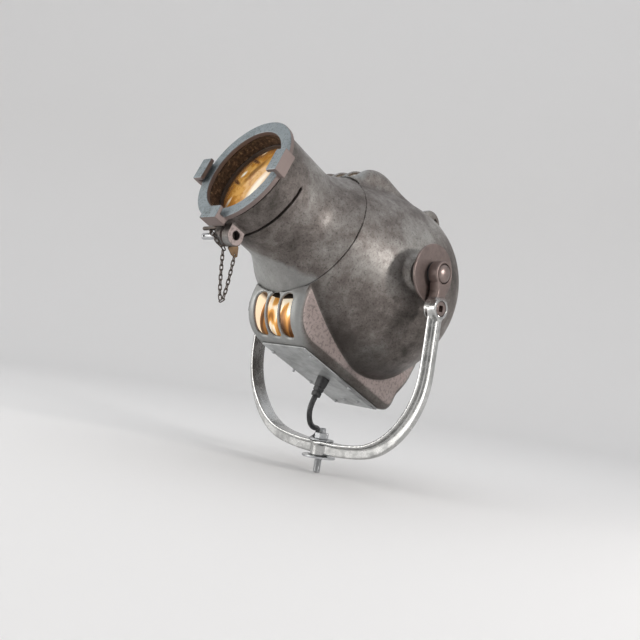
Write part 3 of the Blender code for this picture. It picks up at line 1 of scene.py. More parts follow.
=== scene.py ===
"""Theatre spotlight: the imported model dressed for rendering.

Metres, +Z up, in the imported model's own frame. Castings are worked out as distance
fields in numpy: a field is negative inside the metal, and the surface where it is zero
is drawn by surface nets. Round pieces are profiles turned about an axis, and the lead
and the chain are sections carried along a path. Lamp pieces are worked out in the lamp's
own axes, (side, up, along), and are then laid in place.
"""

import math

import bpy
import numpy as np
from bpy.props import FloatProperty, FloatVectorProperty, PointerProperty
from bpy.types import Operator, Panel, PropertyGroup
from mathutils import Matrix, Vector


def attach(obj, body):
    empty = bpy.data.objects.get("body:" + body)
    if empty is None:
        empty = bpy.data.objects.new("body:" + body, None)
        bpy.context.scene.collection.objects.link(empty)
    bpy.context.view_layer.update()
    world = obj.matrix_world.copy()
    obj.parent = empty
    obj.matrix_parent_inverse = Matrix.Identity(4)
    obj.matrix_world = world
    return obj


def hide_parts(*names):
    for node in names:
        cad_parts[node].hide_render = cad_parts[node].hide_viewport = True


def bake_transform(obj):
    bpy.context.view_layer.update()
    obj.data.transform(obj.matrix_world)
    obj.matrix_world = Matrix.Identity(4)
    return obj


bl_info = {
    "name": "Theatre Spotlight",
    "version": (1, 0, 0),
    "blender": (4, 5, 0),
    "location": "3D View > Sidebar > Spotlight",
    "description": "Builds the castings, fittings, lead and finishes of a theatre spotlight",
    "category": "Object",
}

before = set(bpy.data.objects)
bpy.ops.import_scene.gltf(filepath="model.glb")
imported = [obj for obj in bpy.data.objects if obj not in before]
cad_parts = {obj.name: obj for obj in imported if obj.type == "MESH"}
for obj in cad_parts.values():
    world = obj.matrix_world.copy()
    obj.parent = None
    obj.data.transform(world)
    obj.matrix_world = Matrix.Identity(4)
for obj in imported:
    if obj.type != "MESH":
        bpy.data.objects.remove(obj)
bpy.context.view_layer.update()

PIVOT_HEIGHT = 0.2572
TILT_UP = math.radians(22.9)
PIVOT = Matrix.Translation((0, 0, PIVOT_HEIGHT))
LAMP = PIVOT @ Matrix.Rotation(math.pi / 2 - TILT_UP, 4, "X")
# Turns that lay a piece's Z axis outwards along the tilt axis, on either side.
NEAR_TURN = Matrix(((0, 0, 1, 0), (1, 0, 0, 0), (0, 1, 0, 0), (0, 0, 0, 1)))
FAR_TURN = Matrix(((0, 0, -1, 0), (0, 1, 0, 0), (1, 0, 0, 0), (0, 0, 0, 1)))
SIDES = (("near", NEAR_TURN), ("far", FAR_TURN))
UPRIGHT = Matrix.Identity(4)

# Sizes in metres and the powers of two curves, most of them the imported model's own.
BELL_WIDEST_AT = -0.041
BELL_MOUTH_RADIUS = 0.0925
BELL_MOUTH_AT = 0.0885
BELL_REAR_LENGTH = 0.1223
BELL_POWER = 1.45
BELL_WALL = 0.0065
VENT_WALL = 0.0045
VENT_FRONT = 0.0922
VENT_CENTRE_AT = 0.038
VENT_POWER = 2.3
HOOD_CENTRE = 0.072
HOOD_TOP = 0.1250
HOOD_HALF_WIDTH = 0.050
BOX_CENTRE = 0.084
BOX_BOTTOM = 0.1427
BOX_HALF_WIDTH = 0.052
BOSS_FACE = 0.1305
SLOT_STARTS = 0.0930
SLOT_ENDS_AT = 0.056
SNOUT_FRONT_AT = 0.2115
SKIRT_REAR_AT = 0.0888
SNOUT_WALL = 0.0068
SNOUT_BORE = 0.0623
SLIT_AT = 0.1795
LENS_SEAT = 0.0583
BOW_FLOOR = 0.0232
BOW_INSIDE = 0.1590
BOW_SHAPE = [(0.0, 0.0), (0.25157, 0.00429), (0.52830, 0.04026), (0.72327, 0.12883), (0.86792, 0.26303)]
BOW_SHAPE += [(0.95597, 0.40797), (0.99371, 0.55827), (1.0, 0.75152), (1.0, 1.0)]
LEAD_RADIUS = 0.00375
COIL_TURNS = 6.5
COIL_LAYERS = 4
COIL_STEP = 0.0081
COIL_RADIUS = 0.0378 + COIL_STEP * COIL_TURNS / COIL_LAYERS / 2
COIL_CENTRE = (-0.1685, 0.0115 + 0.0012 + COIL_RADIUS + LEAD_RADIUS, 0.1980)
CLAMP_UP, CLAMP_ALONG = -0.0785, 0.1925
PIN_UP, PIN_ALONG = -0.0720, 0.2000
ARM_BOSS_HEIGHT = PIVOT_HEIGHT - 0.0436
ARM_BOSS_RADIUS = 0.0137
BOLT_HOLE = 0.0053
SCREW_HOLE = 0.0052
PLATE_FACE = -0.1453
NUT_HEIGHT = 0.0296
CHAIN_LOOP = 0.122
CHAIN_PITCH = 0.0060
LINK_RADIUS, LINK_STEPS = 0.0019, 20
WIRE_RADIUS, WIRE_STEPS = 0.00078, 8
FLOOR_AT = -0.0212

# The frame runner's section, (outwards, along): root, wall and inward lip.
RUNNER_SECTION = [(0.0700, 0.2142), (0.0800, 0.2142), (0.0800, 0.2317), (0.0625, 0.2317)]
RUNNER_SECTION += [(0.0625, 0.2262), (0.0720, 0.2262), (0.0720, 0.2197), (0.0700, 0.2197)]

# The photo's camera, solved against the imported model: degrees, millimetres and metres.
CAMERA_ANGLES = (46.0347, -3.6469, 8.7476)
CAMERA_LENS = 45.34
CAMERA_PLACE = (0.7778, -0.7866, 0.1149)

# What shows through the lens, painted on it as dark marks and painted highlights, each an ellipse that fades
# to its own rim: colour, strength, centre as (side, up), turn in degrees, half length and half width.
LENS_FACE_AT = 0.198
LENS_MARKS = (
    ((0.16, 0.08, 0.03), 0.80, (-0.0073, 0.0154), 60.0, 0.0300, 0.0075),
    ((0.12, 0.05, 0.02), 1.00, (-0.0240, 0.0350), -25.0, 0.0220, 0.0036),
    ((0.12, 0.05, 0.02), 1.00, (-0.0380, 0.0022), -27.0, 0.0220, 0.0036),
    ((0.95, 0.88, 0.74), 0.85, (0.0118, -0.0100), 70.0, 0.0350, 0.0085),
    ((1.00, 0.92, 0.72), 0.75, (-0.0351, -0.0295), 60.0, 0.0100, 0.0045),
    ((1.00, 0.96, 0.80), 1.00, (-0.0308, 0.0136), 45.0, 0.0070, 0.0052),
    ((1.00, 0.90, 0.66), 0.85, (-0.0186, 0.0486), 45.0, 0.0055, 0.0028),
    ((0.20, 0.09, 0.03), 0.70, (-0.0400, -0.0360), 50.0, 0.0120, 0.0050),
)


# Meshes.


def settings():
    return bpy.context.scene.spotlight_sizes


def colours():
    return bpy.context.scene.spotlight_colours


def lay_piece(name, points, faces, normals, place, finish, body, nodes):
    """A mesh object laid in its place, from arrays of points, faces and normals.

    Without normals the mesh is shaded smooth by Blender itself. A piece without a body, the
    lead, isn't carried by any.
    """
    turn, shift = np.array(place)[:3, :3], np.array(place)[:3, 3]
    mesh = bpy.data.meshes.new(name)
    rows = [row for block in faces for row in block.tolist()]
    mesh.from_pydata((points @ turn.T + shift).tolist(), [], rows)
    mesh.shade_smooth()
    if normals is not None:
        normals = normals @ turn.T
        length = np.linalg.norm(normals, axis=1, keepdims=True)
        mesh.normals_split_custom_set_from_vertices((normals / np.maximum(length, 1e-9)).tolist())
    mesh.materials.append(finish)
    piece = bpy.data.objects.new(name, mesh)
    bpy.context.scene.collection.objects.link(piece)
    if body:
        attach(piece, body)
    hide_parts(*nodes)
    return piece


def grid_faces(rows, columns, wrap_rows=False):
    """Quads between neighbouring rows and columns of a grid of points; the columns wrap round."""
    i, j = np.meshgrid(np.arange(rows if wrap_rows else rows - 1), np.arange(columns), indexing="ij")
    row, below, beside = i * columns, (i + 1) % rows * columns, (j + 1) % columns
    return np.stack([row + j, below + j, below + beside, row + beside], axis=-1).reshape(-1, 4)


def softened(profile, radius, closed=False, steps=4):
    """A profile and its tangents, each corner a quadratic curve between points a radius away."""
    points = np.array(profile, float)
    count = len(points)
    places, tangents = [], []
    for i in range(count):
        if not closed and i in (0, count - 1):
            ahead = points[1] - points[0] if i == 0 else points[-1] - points[-2]
            places.append(points[i][None])
            tangents.append(ahead[None])
            continue
        before, after = points[i - 1] - points[i], points[(i + 1) % count] - points[i]
        to_before, to_after = np.linalg.norm(before), np.linalg.norm(after)
        reach = min(radius, 0.45 * to_before, 0.45 * to_after)
        start, end = points[i] + before / to_before * reach, points[i] + after / to_after * reach
        t = np.linspace(0, 1, steps + 1)[:, None]
        places.append((1 - t) ** 2 * start + 2 * t * (1 - t) * points[i] + t**2 * end)
        tangents.append((1 - t) * (points[i] - start) + t * (end - points[i]))
    return np.vstack(places), np.vstack(tangents)


def unit(vectors):
    """Rows of vectors, each made one long."""
    return vectors / np.linalg.norm(vectors, axis=1)[:, None]


def steps_along(path):
    """The distances from each point of a path to the next."""
    return np.linalg.norm(np.diff(path, axis=0), axis=1)


def end_faces(rows, columns):
    """The flat faces that close a grid's first and last rows."""
    ring = np.arange(columns)[None]
    return [ring, (rows - 1) * columns + ring[:, ::-1]]


def ring_profile(inner, outer, low, high):
    """A flat ring's closed profile: down its outer side and up its bore."""
    return [(outer, high), (outer, low), (inner, low), (inner, high)]


def turned_piece(name, profile, finish, body, place, radius, steps, closed, nodes):
    """A profile of (radius, height), its outer side running down, turned about the place's Z axis.

    Each point is (r cos a, r sin a, h); its normal is the profile's tangent turned a quarter.
    An open profile starts and ends on the axis, where a fan of triangles closes it.
    """
    line, tangent = softened(profile, radius, closed)
    rows = len(line)
    angle = np.linspace(0, 2 * math.pi, steps, endpoint=False)
    cosine, sine = np.cos(angle), np.sin(angle)

    def turned(out, up):
        return np.stack([out * cosine, out * sine, np.repeat(up, steps, axis=1)], axis=-1).reshape(-1, 3)

    points, normals = turned(line[:, :1], line[:, 1:]), turned(-tangent[:, 1:], tangent[:, :1])
    faces = [grid_faces(rows, steps, wrap_rows=closed)]
    if not closed:
        ring = np.arange(steps)
        beside = (ring + 1) % steps
        quads = faces[0].reshape(rows - 1, steps, 4)
        last = (rows - 1) * steps
        faces = [quads[1:-1].reshape(-1, 4)]
        faces.append(np.stack([np.zeros(steps, int), steps + ring, steps + beside], axis=1))
        faces.append(np.stack([np.full(steps, last), last - steps + beside, last - steps + ring], axis=1))
        keep = np.ones(len(points), bool)
        keep[1:steps] = False
        keep[last + 1 :] = False
        renumber = np.cumsum(keep) - 1
        faces = [renumber[block] for block in faces]
        points, normals = points[keep], normals[keep]
    return lay_piece(name, points, faces, normals, place, finish, body, nodes)


def carried_section(path, radius, sides):
    """Rings of a round section along a path, turned as little as possible, with their outward normals."""
    ahead = unit(np.gradient(path, axis=0))
    side = np.zeros_like(path)
    start = np.cross(ahead[0], (0.0, 0.0, 1.0) if abs(ahead[0][2]) < 0.9 else (1.0, 0.0, 0.0))
    side[0] = start / np.linalg.norm(start)
    for i in range(1, len(path)):
        turned = side[i - 1] - ahead[i] * (side[i - 1] @ ahead[i])
        side[i] = turned / np.linalg.norm(turned)
    over = np.cross(ahead, side)
    angle = np.linspace(0, 2 * math.pi, sides, endpoint=False)
    out = side[:, None] * np.cos(angle)[:, None] + over[:, None] * np.sin(angle)[:, None]
    return path[:, None] + out * radius, out


def tube_piece(name, path, radius, finish, body, sides, nodes):
    """A round tube along a path, closed at each end by a fan of triangles."""
    rings, out = carried_section(path, radius, sides)
    rows = len(path)
    first, last = path[0] - path[1], path[-1] - path[-2]
    points = np.vstack([rings.reshape(-1, 3), path[:1], path[-1:]])
    normals = np.vstack([out.reshape(-1, 3), first[None], last[None]])
    ring = np.arange(sides)
    beside = (ring + 1) % sides
    start, end = rows * sides, rows * sides + 1
    faces = [
        grid_faces(rows, sides)[:, ::-1],
        np.stack([np.full(sides, start), beside, ring], axis=1),
        np.stack([np.full(sides, end), (rows - 1) * sides + ring, (rows - 1) * sides + beside], axis=1),
    ]
    return lay_piece(name, points, faces, normals, UPRIGHT, finish, body, nodes)


def smooth_path(points, spacing):
    """Evenly spaced points on a Catmull-Rom curve through the given ones."""
    given = np.array(points, float)
    padded = np.vstack([2 * given[0] - given[1], given, 2 * given[-1] - given[-2]])
    t = np.linspace(0, 1, 40, endpoint=False)[:, None]
    fine = []
    for i in range(len(given) - 1):
        a, b, c, d = padded[i : i + 4]
        bend = (2 * a - 5 * b + 4 * c - d) * t**2 + (3 * b - a - 3 * c + d) * t**3
        fine.append(0.5 * (2 * b + (c - a) * t + bend))
    fine = np.vstack([*fine, given[-1:]])
    run = np.concatenate([[0], np.cumsum(steps_along(fine))])
    at = np.linspace(0, run[-1], max(2, round(run[-1] / spacing) + 1))
    return np.stack([np.interp(at, run, fine[:, k]) for k in range(fine.shape[1])], axis=1)


# Distance fields.


def met(a, b, radius):
    """Inside both a and b, the edge between them rounded to the radius."""
    u, v = np.maximum(a + radius, 0), np.maximum(b + radius, 0)
    return np.minimum(np.maximum(a, b), -radius) + np.sqrt(u * u + v * v)


def joined(a, b, radius):
    """Inside a or b, with a fillet of the radius between them."""
    u, v = np.maximum(radius - a, 0), np.maximum(radius - b, 0)
    return np.maximum(np.minimum(a, b), radius) - np.sqrt(u * u + v * v)


def slab(value, low, high):
    """Negative between two planes."""
    return np.maximum(low - value, value - high)


def outline_field(a, b, outline):
    """Signed distance to a closed outline in two coordinates: the nearest edge, negative inside.

    A point is inside where a ray from it crosses the outline an odd number of times.
    """
    nearest = np.float32(1e9)
    inside = False
    corners = np.array(outline, np.float32)
    for (a0, b0), (a1, b1) in zip(corners, np.roll(corners, -1, axis=0), strict=True):
        edge_a, edge_b = a1 - a0, b1 - b0
        from_a, from_b = a - a0, b - b0
        share = np.clip((from_a * edge_a + from_b * edge_b) / (edge_a**2 + edge_b**2), 0, 1)
        away = (from_a - edge_a * share) ** 2 + (from_b - edge_b * share) ** 2
        nearest = np.minimum(nearest, away)
        if edge_b:
            spans = (b >= b0) != (b >= b1)
            inside = inside ^ (spans & (from_a < edge_a * from_b / edge_b))
    return np.where(inside, -1, 1) * np.sqrt(nearest)


def slope(field, points, step=0.0002):
    """The field's slope at each point, by central differences."""
    parts = []
    for axis in range(3):
        shift = np.zeros(3)
        shift[axis] = step
        parts.append((field(*(points + shift).T) - field(*(points - shift).T)) / (2 * step))
    return np.stack(parts, axis=1)


def surface_net(field, axes):
    """The zero surface of a field, by surface nets.

    Each cell whose corners differ in sign holds one point, the mean of where the field
    crosses the cell's edges; each crossing edge gives a quad between its four cells. The
    points are then moved down the field's slope until they lie on the surface.
    """
    grid = np.meshgrid(*[axis.astype(np.float32) for axis in axes], indexing="ij", sparse=True)
    shape = tuple(len(axis) for axis in axes)
    value = np.broadcast_to(field(*grid), shape)
    inside = value < 0
    cells = tuple(n - 1 for n in shape)
    places, numbers, quads = [], [], []
    for axis in range(3):
        low = tuple(slice(0, -1) if k == axis else slice(1, -1) for k in range(3))
        high = tuple(slice(1, None) if k == axis else slice(1, -1) for k in range(3))
        crossing = inside[low] != inside[high]
        at = np.argwhere(crossing) + [0 if k == axis else 1 for k in range(3)]
        before, after = value[low][crossing], value[high][crossing]
        place = np.stack([axes[k][at[:, k]] for k in range(3)], axis=1)
        width = axes[axis][at[:, axis] + 1] - axes[axis][at[:, axis]]
        place[:, axis] += before / (before - after) * width
        p, q = (axis + 1) % 3, (axis + 2) % 3
        corners = []
        for step_p, step_q in ((0, 0), (-1, 0), (-1, -1), (0, -1)):
            cell = at.copy()
            cell[:, p] += step_p
            cell[:, q] += step_q
            corners.append(np.ravel_multi_index(cell.T, cells))
        quad = np.stack(corners, axis=1)
        quads.append(np.where(before[:, None] < 0, quad, quad[:, ::-1]))
        places.append(np.tile(place, (4, 1)))
        numbers.append(np.concatenate(corners))
    numbers, places, quads = np.concatenate(numbers), np.vstack(places), np.vstack(quads)
    used, back = np.unique(numbers, return_inverse=True)
    count = np.bincount(back)
    points = np.stack([np.bincount(back, places[:, k]) / count for k in range(3)], axis=1)
    for _ in range(3):
        fall = slope(field, points)
        steep = np.maximum((fall**2).sum(axis=1), 0.2)
        points -= np.clip((field(*points.T) / steep)[:, None] * fall, -0.0008, 0.0008)
    return points, np.searchsorted(used, quads), slope(field, points)


def spaced(*spans):
    """One axis of a grid: (start, step) pairs and a last stop, each span cut evenly."""
    marks = [spans[i][0] for i in range(len(spans) - 1)] + [spans[-1]]
    pieces = []
    for i in range(len(spans) - 1):
        count = max(1, round((marks[i + 1] - marks[i]) / spans[i][1]))
        pieces.append(np.linspace(marks[i], marks[i + 1], count, endpoint=False))
    return np.concatenate([*pieces, [marks[-1]]])


def field_piece(name, field, axes, place, finish, body, nodes):
    """A piece drawn from a distance field; each axis is given as the spans of its grid."""
    points, quads, normals = surface_net(field, [spaced(*spans) for spans in axes])
    return lay_piece(name, points, [quads], normals, place, finish, body, nodes)


# Finishes.


def lamp_place(side, up, along):
    """A point given in the lamp's axes, in the model's frame."""
    return LAMP @ Vector((side, up, along))


def feed(node, name, value):
    """Sets one of a node's inputs, or links it to another node's output."""
    if isinstance(value, bpy.types.NodeSocket):
        node.id_data.links.new(value, node.inputs[name])
    else:
        node.inputs[name].default_value = value


def add_node(tree, kind, **inputs):
    """A shader node with its inputs fed; an underscore in an input's name stands for a space."""
    made = tree.nodes.new("ShaderNode" + kind)
    for name, value in inputs.items():
        feed(made, name.replace("_", " "), value)
    return made


def blank_finish(name, colour, roughness, metallic=0.0):
    """A Principled material with its plain values on the shader's own sockets."""
    made = bpy.data.materials.new(name)
    made.use_nodes = True
    shader = made.node_tree.nodes["Principled BSDF"]
    feed(shader, "Base Color", (*colour, 1.0))
    feed(shader, "Roughness", roughness)
    feed(shader, "Metallic", metallic)
    return made, made.node_tree, shader


def fed_colour(shader):
    """The output that a shader's colour comes from."""
    return shader.inputs["Base Color"].links[0].from_socket


def model_coordinates(tree):
    return tree.nodes.new("ShaderNodeTexCoord").outputs["Object"]


def lamp_coordinates(tree):
    """The lamp's own (side, up, along) at each point."""
    mapping = add_node(tree, "Mapping", Location=PIVOT.translation, Vector=model_coordinates(tree))
    mapping.vector_type = "TEXTURE"
    feed(mapping, "Rotation", (math.pi / 2 - TILT_UP, 0, 0))
    return mapping.outputs["Vector"]


def parts_of(tree, vector):
    """A vector's three numbers."""
    return add_node(tree, "SeparateXYZ", Vector=vector).outputs


def stretched(tree, vector, scale):
    return add_node(tree, "Mapping", Scale=scale, Vector=vector).outputs["Vector"]


def noise(tree, vector, scale, detail=6.0, rough=0.6, bend=0.0):
    """A noise texture's value at each point."""
    made = add_node(tree, "TexNoise", Vector=vector, Scale=scale, Detail=detail, Roughness=rough)
    feed(made, "Distortion", bend)
    return made.outputs["Fac"]


def maths(tree, operation, *values):
    """A Math node whose inputs are numbers or other nodes' outputs."""
    made = tree.nodes.new("ShaderNodeMath")
    made.operation = operation
    for index, value in enumerate(values):
        feed(made, index, value)
    return made.outputs[0]


def ramp(tree, value, *stops):
    """A colour for each place along a value; the stops are (place, colour)."""
    made = tree.nodes.new("ShaderNodeValToRGB")
    band = made.color_ramp
    while len(band.elements) < len(stops):
        band.elements.new(0.5)
    for element, (place, colour) in zip(band.elements, stops, strict=True):
        element.position = place
        element.color = (*colour, 1.0)
    feed(made, "Fac", value)
    return made.outputs["Color"]


def levels(tree, value, low, high, to_low, to_high):
    """A value between low and high, rescaled to between two others."""
    made = add_node(tree, "MapRange", Value=value, From_Min=low, From_Max=high, To_Min=to_low, To_Max=to_high)
    return made.outputs["Result"]


def mixed(tree, share, first, second, blend="MIX"):
    """Two colours mixed by a share; a colour may be a node's output or plain numbers."""
    made = tree.nodes.new("ShaderNodeMix")
    made.data_type = "RGBA"
    made.blend_type = blend
    for index, value in ((0, share), (6, first), (7, second)):
        feed(made, index, (*value, 1.0) if isinstance(value, tuple) else value)
    return made.outputs[2]


def bumped(tree, shader, height, distance, strength):
    made = add_node(tree, "Bump", Distance=distance, Strength=strength, Height=height)
    feed(shader, "Normal", made.outputs["Normal"])


def made_once(title):
    """For a function that makes a finish: it runs the first time, and later calls find what it made."""

    def wrap(make):
        name = f"finish_{title}"
        return lambda: bpy.data.materials.get(name) or make(name)

    return wrap


def mottled_metal(name, stops, patch, metallic, rough_low, rough_high, fine=420.0):
    """Aged metal: broad soft stains, low mottling and fine specks in the colour, and grain in the bump."""
    made, tree, shader = blank_finish(name, (0.2, 0.19, 0.18), 0.5, metallic)
    vector = model_coordinates(tree)
    stains = noise(tree, vector, patch, 3.0, 0.5, 0.4)
    mottling = noise(tree, vector, patch * 8, 8.0, 0.75)
    specks = noise(tree, vector, fine, 4.0, 0.7)
    blend = maths(tree, "ADD", maths(tree, "MULTIPLY", stains, 0.62), maths(tree, "MULTIPLY", mottling, 0.38))
    pores = levels(tree, specks, 0.34, 0.47, 0.50, 1.0)
    feed(shader, "Base Color", mixed(tree, 1.0, ramp(tree, blend, *stops), pores, "MULTIPLY"))
    feed(shader, "Roughness", levels(tree, blend, 0.38, 0.62, rough_high, rough_low))
    grain = maths(tree, "ADD", maths(tree, "MULTIPLY", mottling, 0.5), maths(tree, "MULTIPLY", specks, 0.5))
    bumped(tree, shader, grain, 0.0003, 0.30)
    return made, tree, shader


def all_of(tree, *shares):
    """The product of several shares."""
    product = shares[0]
    for share in shares[1:]:
        product = maths(tree, "MULTIPLY", product, share)
    return product


def facing(tree, direction):
    """The cosine between each point's normal and a direction given in the model's frame."""
    made = tree.nodes.new("ShaderNodeVectorMath")
    made.operation = "DOT_PRODUCT"
    feed(made, 0, tree.nodes.new("ShaderNodeTexCoord").outputs["Normal"])
    feed(made, 1, direction)
    return made.outputs["Value"]


def lamp_direction(side, up, along):
    """A direction given in the lamp's axes, of length one, in the model's frame."""
    return (LAMP.to_3x3() @ Vector((side, up, along))).normalized()


def zoned_copy(name, finish):
    """A copy of a finish, and the lamp's side, up and along in it."""
    made = finish.copy()
    made.name = name
    return made, parts_of(made.node_tree, lamp_coordinates(made.node_tree))


def recolour(made, share, colour):
    """Mixes a colour into a finish by a share."""
    shader = made.node_tree.nodes["Principled BSDF"]
    feed(shader, "Base Color", mixed(made.node_tree, share, fed_colour(shader), colour))


@made_once("clamp_zinc")
def clamp_finish(name):
    """Zinc, with painted shade where the screw's end stands in the near ear's hole."""
    made, split = zoned_copy(name, zinc_finish())
    # Painted shade: the screw inside the near ear is darkened.
    recolour(made, levels(made.node_tree, split[0], 0.0030, 0.0035, 0.0, 1.0), (0.035, 0.030, 0.026))
    return made


@made_once("aged_casting")
def cast_finish(name):
    """The casting: stained, with painted shade beside the lamp box and on its lower edge, painted light that
    makes the flat sides, the vents' fronts and the snout below a line paler, and a painted warm glow inside
    the vents.
    """
    tone = colours()
    tones = (tone.casting_dark, tone.casting_middle, tone.casting_light)
    stops = [(place, tuple(colour)) for place, colour in zip((0.36, 0.49, 0.64), tones, strict=True)]
    made, tree, shader = mottled_metal(name, stops, 9.0, 0.62, 0.42, 0.58)
    stains_and_painted_light = fed_colour(shader)
    side, up, along = parts_of(tree, lamp_coordinates(tree))
    off_middle, off_axis = maths(tree, "ABSOLUTE", side), maths(tree, "ABSOLUTE", up)
    sideways = facing(tree, (1.0, 0.0, 0.0))

    # The shade of the bell beside the lamp box.
    shade = all_of(
        tree,
        levels(tree, off_middle, 0.054, 0.088, 0.55, 0.0),
        levels(tree, up, -0.085, -0.055, 1.0, 0.0),
        levels(tree, off_middle, 0.0521, 0.0524, 0.0, 1.0),
    )
    stains_and_painted_light = mixed(tree, shade, stains_and_painted_light, (0.034, 0.029, 0.026))

    # Painted light: the flat sides of the lamp box and of the ears, which face sideways, are painted paler.
    below = levels(tree, up, -0.066, -0.060, 1.0, 0.0)
    flat_side = levels(tree, maths(tree, "ABSOLUTE", sideways), 0.955, 0.985, 0.0, 1.0)
    specks = levels(tree, noise(tree, model_coordinates(tree), 230.0, 3.0, 0.65), 0.40, 0.50, 0.62, 1.0)
    flats = mixed(tree, 1.0, tuple(tone.casting_lit_flats), specks, "MULTIPLY")
    stains_and_painted_light = mixed(tree, all_of(tree, below, flat_side), stains_and_painted_light, mixed(tree, 0.70, stains_and_painted_light, flats))

    # Painted shade on the lamp box's lower edge, which faces down, behind its front.
    lower_edge_shade = all_of(
        tree,
        levels(tree, facing(tree, lamp_direction(0.62, -0.78, 0.0)), 0.55, 0.80, 0.0, 0.50),
        levels(tree, up, -0.105, -0.090, 1.0, 0.0),
        levels(tree, along, 0.030, 0.060, 1.0, 0.0),
    )
    stains_and_painted_light = mixed(tree, lower_edge_shade, stains_and_painted_light, (0.030, 0.024, 0.021))

    # Painted light: a pale tone painted as reflection on the vents' rounded fronts, and as light on the snout
    # below a slanting, slightly ragged line.
    vent = all_of(
        tree,
        levels(tree, facing(tree, lamp_direction(0.0, -0.45, 0.89)), 0.28, 0.62, 0.0, 0.85),
        levels(tree, along, 0.020, 0.045, 0.0, 1.0),
        levels(tree, off_axis, 0.084, 0.094, 0.0, 1.0),
        levels(tree, off_middle, 0.0518, 0.0524, 1.0, 0.0),
    )
    slant = maths(tree, "ADD", along, maths(tree, "MULTIPLY", side, 0.85))
    wander = levels(tree, noise(tree, lamp_coordinates(tree), 60.0, 3.0), 0.3, 0.7, -0.003, 0.003)
    below_snout = all_of(
        tree,
        levels(tree, maths(tree, "ADD", slant, wander), 0.137, 0.145, 0.60, 0.0),
        levels(tree, up, -0.056, -0.040, 1.0, 0.0),
        levels(tree, along, 0.0880, 0.0884, 0.0, 1.0),
    )
    pale = mixed(tree, 0.75, stains_and_painted_light, tuple(tone.casting_painted_light))
    feed(shader, "Base Color", mixed(tree, maths(tree, "MAXIMUM", vent, below_snout), stains_and_painted_light, pale))

    # Painted glow: the vents' side walls, seen from inside, glow warm as if the lamp lit them.
    inward = maths(tree, "MULTIPLY", sideways, maths(tree, "SIGN", side))
    glow = all_of(
        tree,
        levels(tree, inward, -0.85, -0.75, 0.95, 0.0),
        levels(tree, off_axis, 0.086, 0.092, 0.0, 1.0),
        levels(tree, off_middle, 0.0440, 0.0455, 0.0, 1.0),
        levels(tree, along, 0.030, 0.045, 0.0, 1.0),
    )
    feed(shader, "Emission Color", (1.0, 0.80, 0.55, 1.0))
    feed(shader, "Emission Strength", glow)
    return made


@made_once("bare_aluminium")
def bare_finish(name):
    """The front ring: blue-grey faces towards the front, brown-pink sides."""
    light = tuple(colours().front_ring)
    shade = tuple(0.62 * part for part in light)
    stops = ((0.36, shade), (0.46, light), (0.66, tuple(min(1.0, 1.15 * part) for part in light)))
    made, tree, shader = mottled_metal(name, stops, 34.0, 0.60, 0.46, 0.62)
    front = levels(tree, facing(tree, lamp_direction(0.0, 0.0, 1.0)), 0.45, 0.80, 0.0, 1.0)
    sides = tuple(0.85 * part for part in colours().pivot_disc)
    feed(shader, "Base Color", mixed(tree, front, sides, fed_colour(shader)))
    return made


@made_once("rusted_bore")
def rusty_finish(name):
    stops = ((0.40, (0.040, 0.024, 0.015)), (0.57, (0.100, 0.062, 0.038)), (0.63, (0.34, 0.23, 0.13)))
    return mottled_metal(name, stops, 260.0, 0.30, 0.50, 0.7, 900.0)[0]


@made_once("polished_aluminium")
def polished_finish(name):
    """Polished metal with fine grooves along the bow, as lines across Y, and browner, duller eyes."""
    tone = tuple(colours().yoke)
    made, tree, shader = blank_finish(name, tone, 0.2, 1.0)
    vector = model_coordinates(tree)
    smear = noise(tree, vector, 55.0, 6.0, 0.65)
    worn = levels(tree, parts_of(tree, vector)[2], 0.2215, 0.2275, 0.0, 1.0)
    gloss = levels(tree, smear, 0.35, 0.68, 0.14, 0.34)
    feed(shader, "Roughness", maths(tree, "MAXIMUM", gloss, maths(tree, "MULTIPLY", worn, 0.46)))
    bright = ramp(tree, smear, (0.30, tuple(0.72 * part for part in tone)), (0.55, tone))
    brown = tuple(0.9 * part for part in colours().pivot_disc)
    feed(shader, "Base Color", mixed(tree, worn, bright, brown))
    lines = noise(tree, stretched(tree, vector, (2.0, 900.0, 2.0)), 1.0, 2.0, 0.5)
    bumped(tree, shader, lines, 0.0003, 0.5)
    return made


def plain_metal(name, colour, roughness, metallic=1.0, grain=300.0, depth=0.0001, spread=0.10):
    """Clean metal with a little variation in its gloss and a fine grain."""
    made, tree, shader = blank_finish(name, colour, roughness, metallic)
    vector = model_coordinates(tree)
    cloud = noise(tree, vector, 60.0, 6.0, 0.65)
    feed(shader, "Roughness", levels(tree, cloud, 0.3, 0.7, roughness + spread, roughness - spread))
    dull = tuple(0.70 * part for part in colour)
    feed(shader, "Base Color", ramp(tree, cloud, (0.33, dull), (0.58, tuple(colour))))
    bumped(tree, shader, noise(tree, vector, grain, 3.0), depth, 0.6)
    return made


@made_once("zinc_plate")
def zinc_finish(name):
    return plain_metal(name, (0.52, 0.53, 0.54), 0.32)


@made_once("worn_steel")
def worn_steel_finish(name):
    return plain_metal(name, tuple(colours().pivot_disc), 0.38, 0.85, 500.0, 0.0002, 0.12)


@made_once("darkened_steel")
def dark_steel_finish(name):
    return plain_metal(name, (0.105, 0.086, 0.074), 0.42, 0.85, 500.0, 0.0002, 0.12)


@made_once("tarnished_brass")
def brass_finish(name):
    return plain_metal(name, (0.20, 0.13, 0.075), 0.48, 0.8, 500.0, 0.0002, 0.12)


@made_once("plain_sheet")
def sheet_finish(name):
    return plain_metal(name, tuple(colours().base_plate), 0.42, 0.55, 700.0, 0.0001, 0.08)


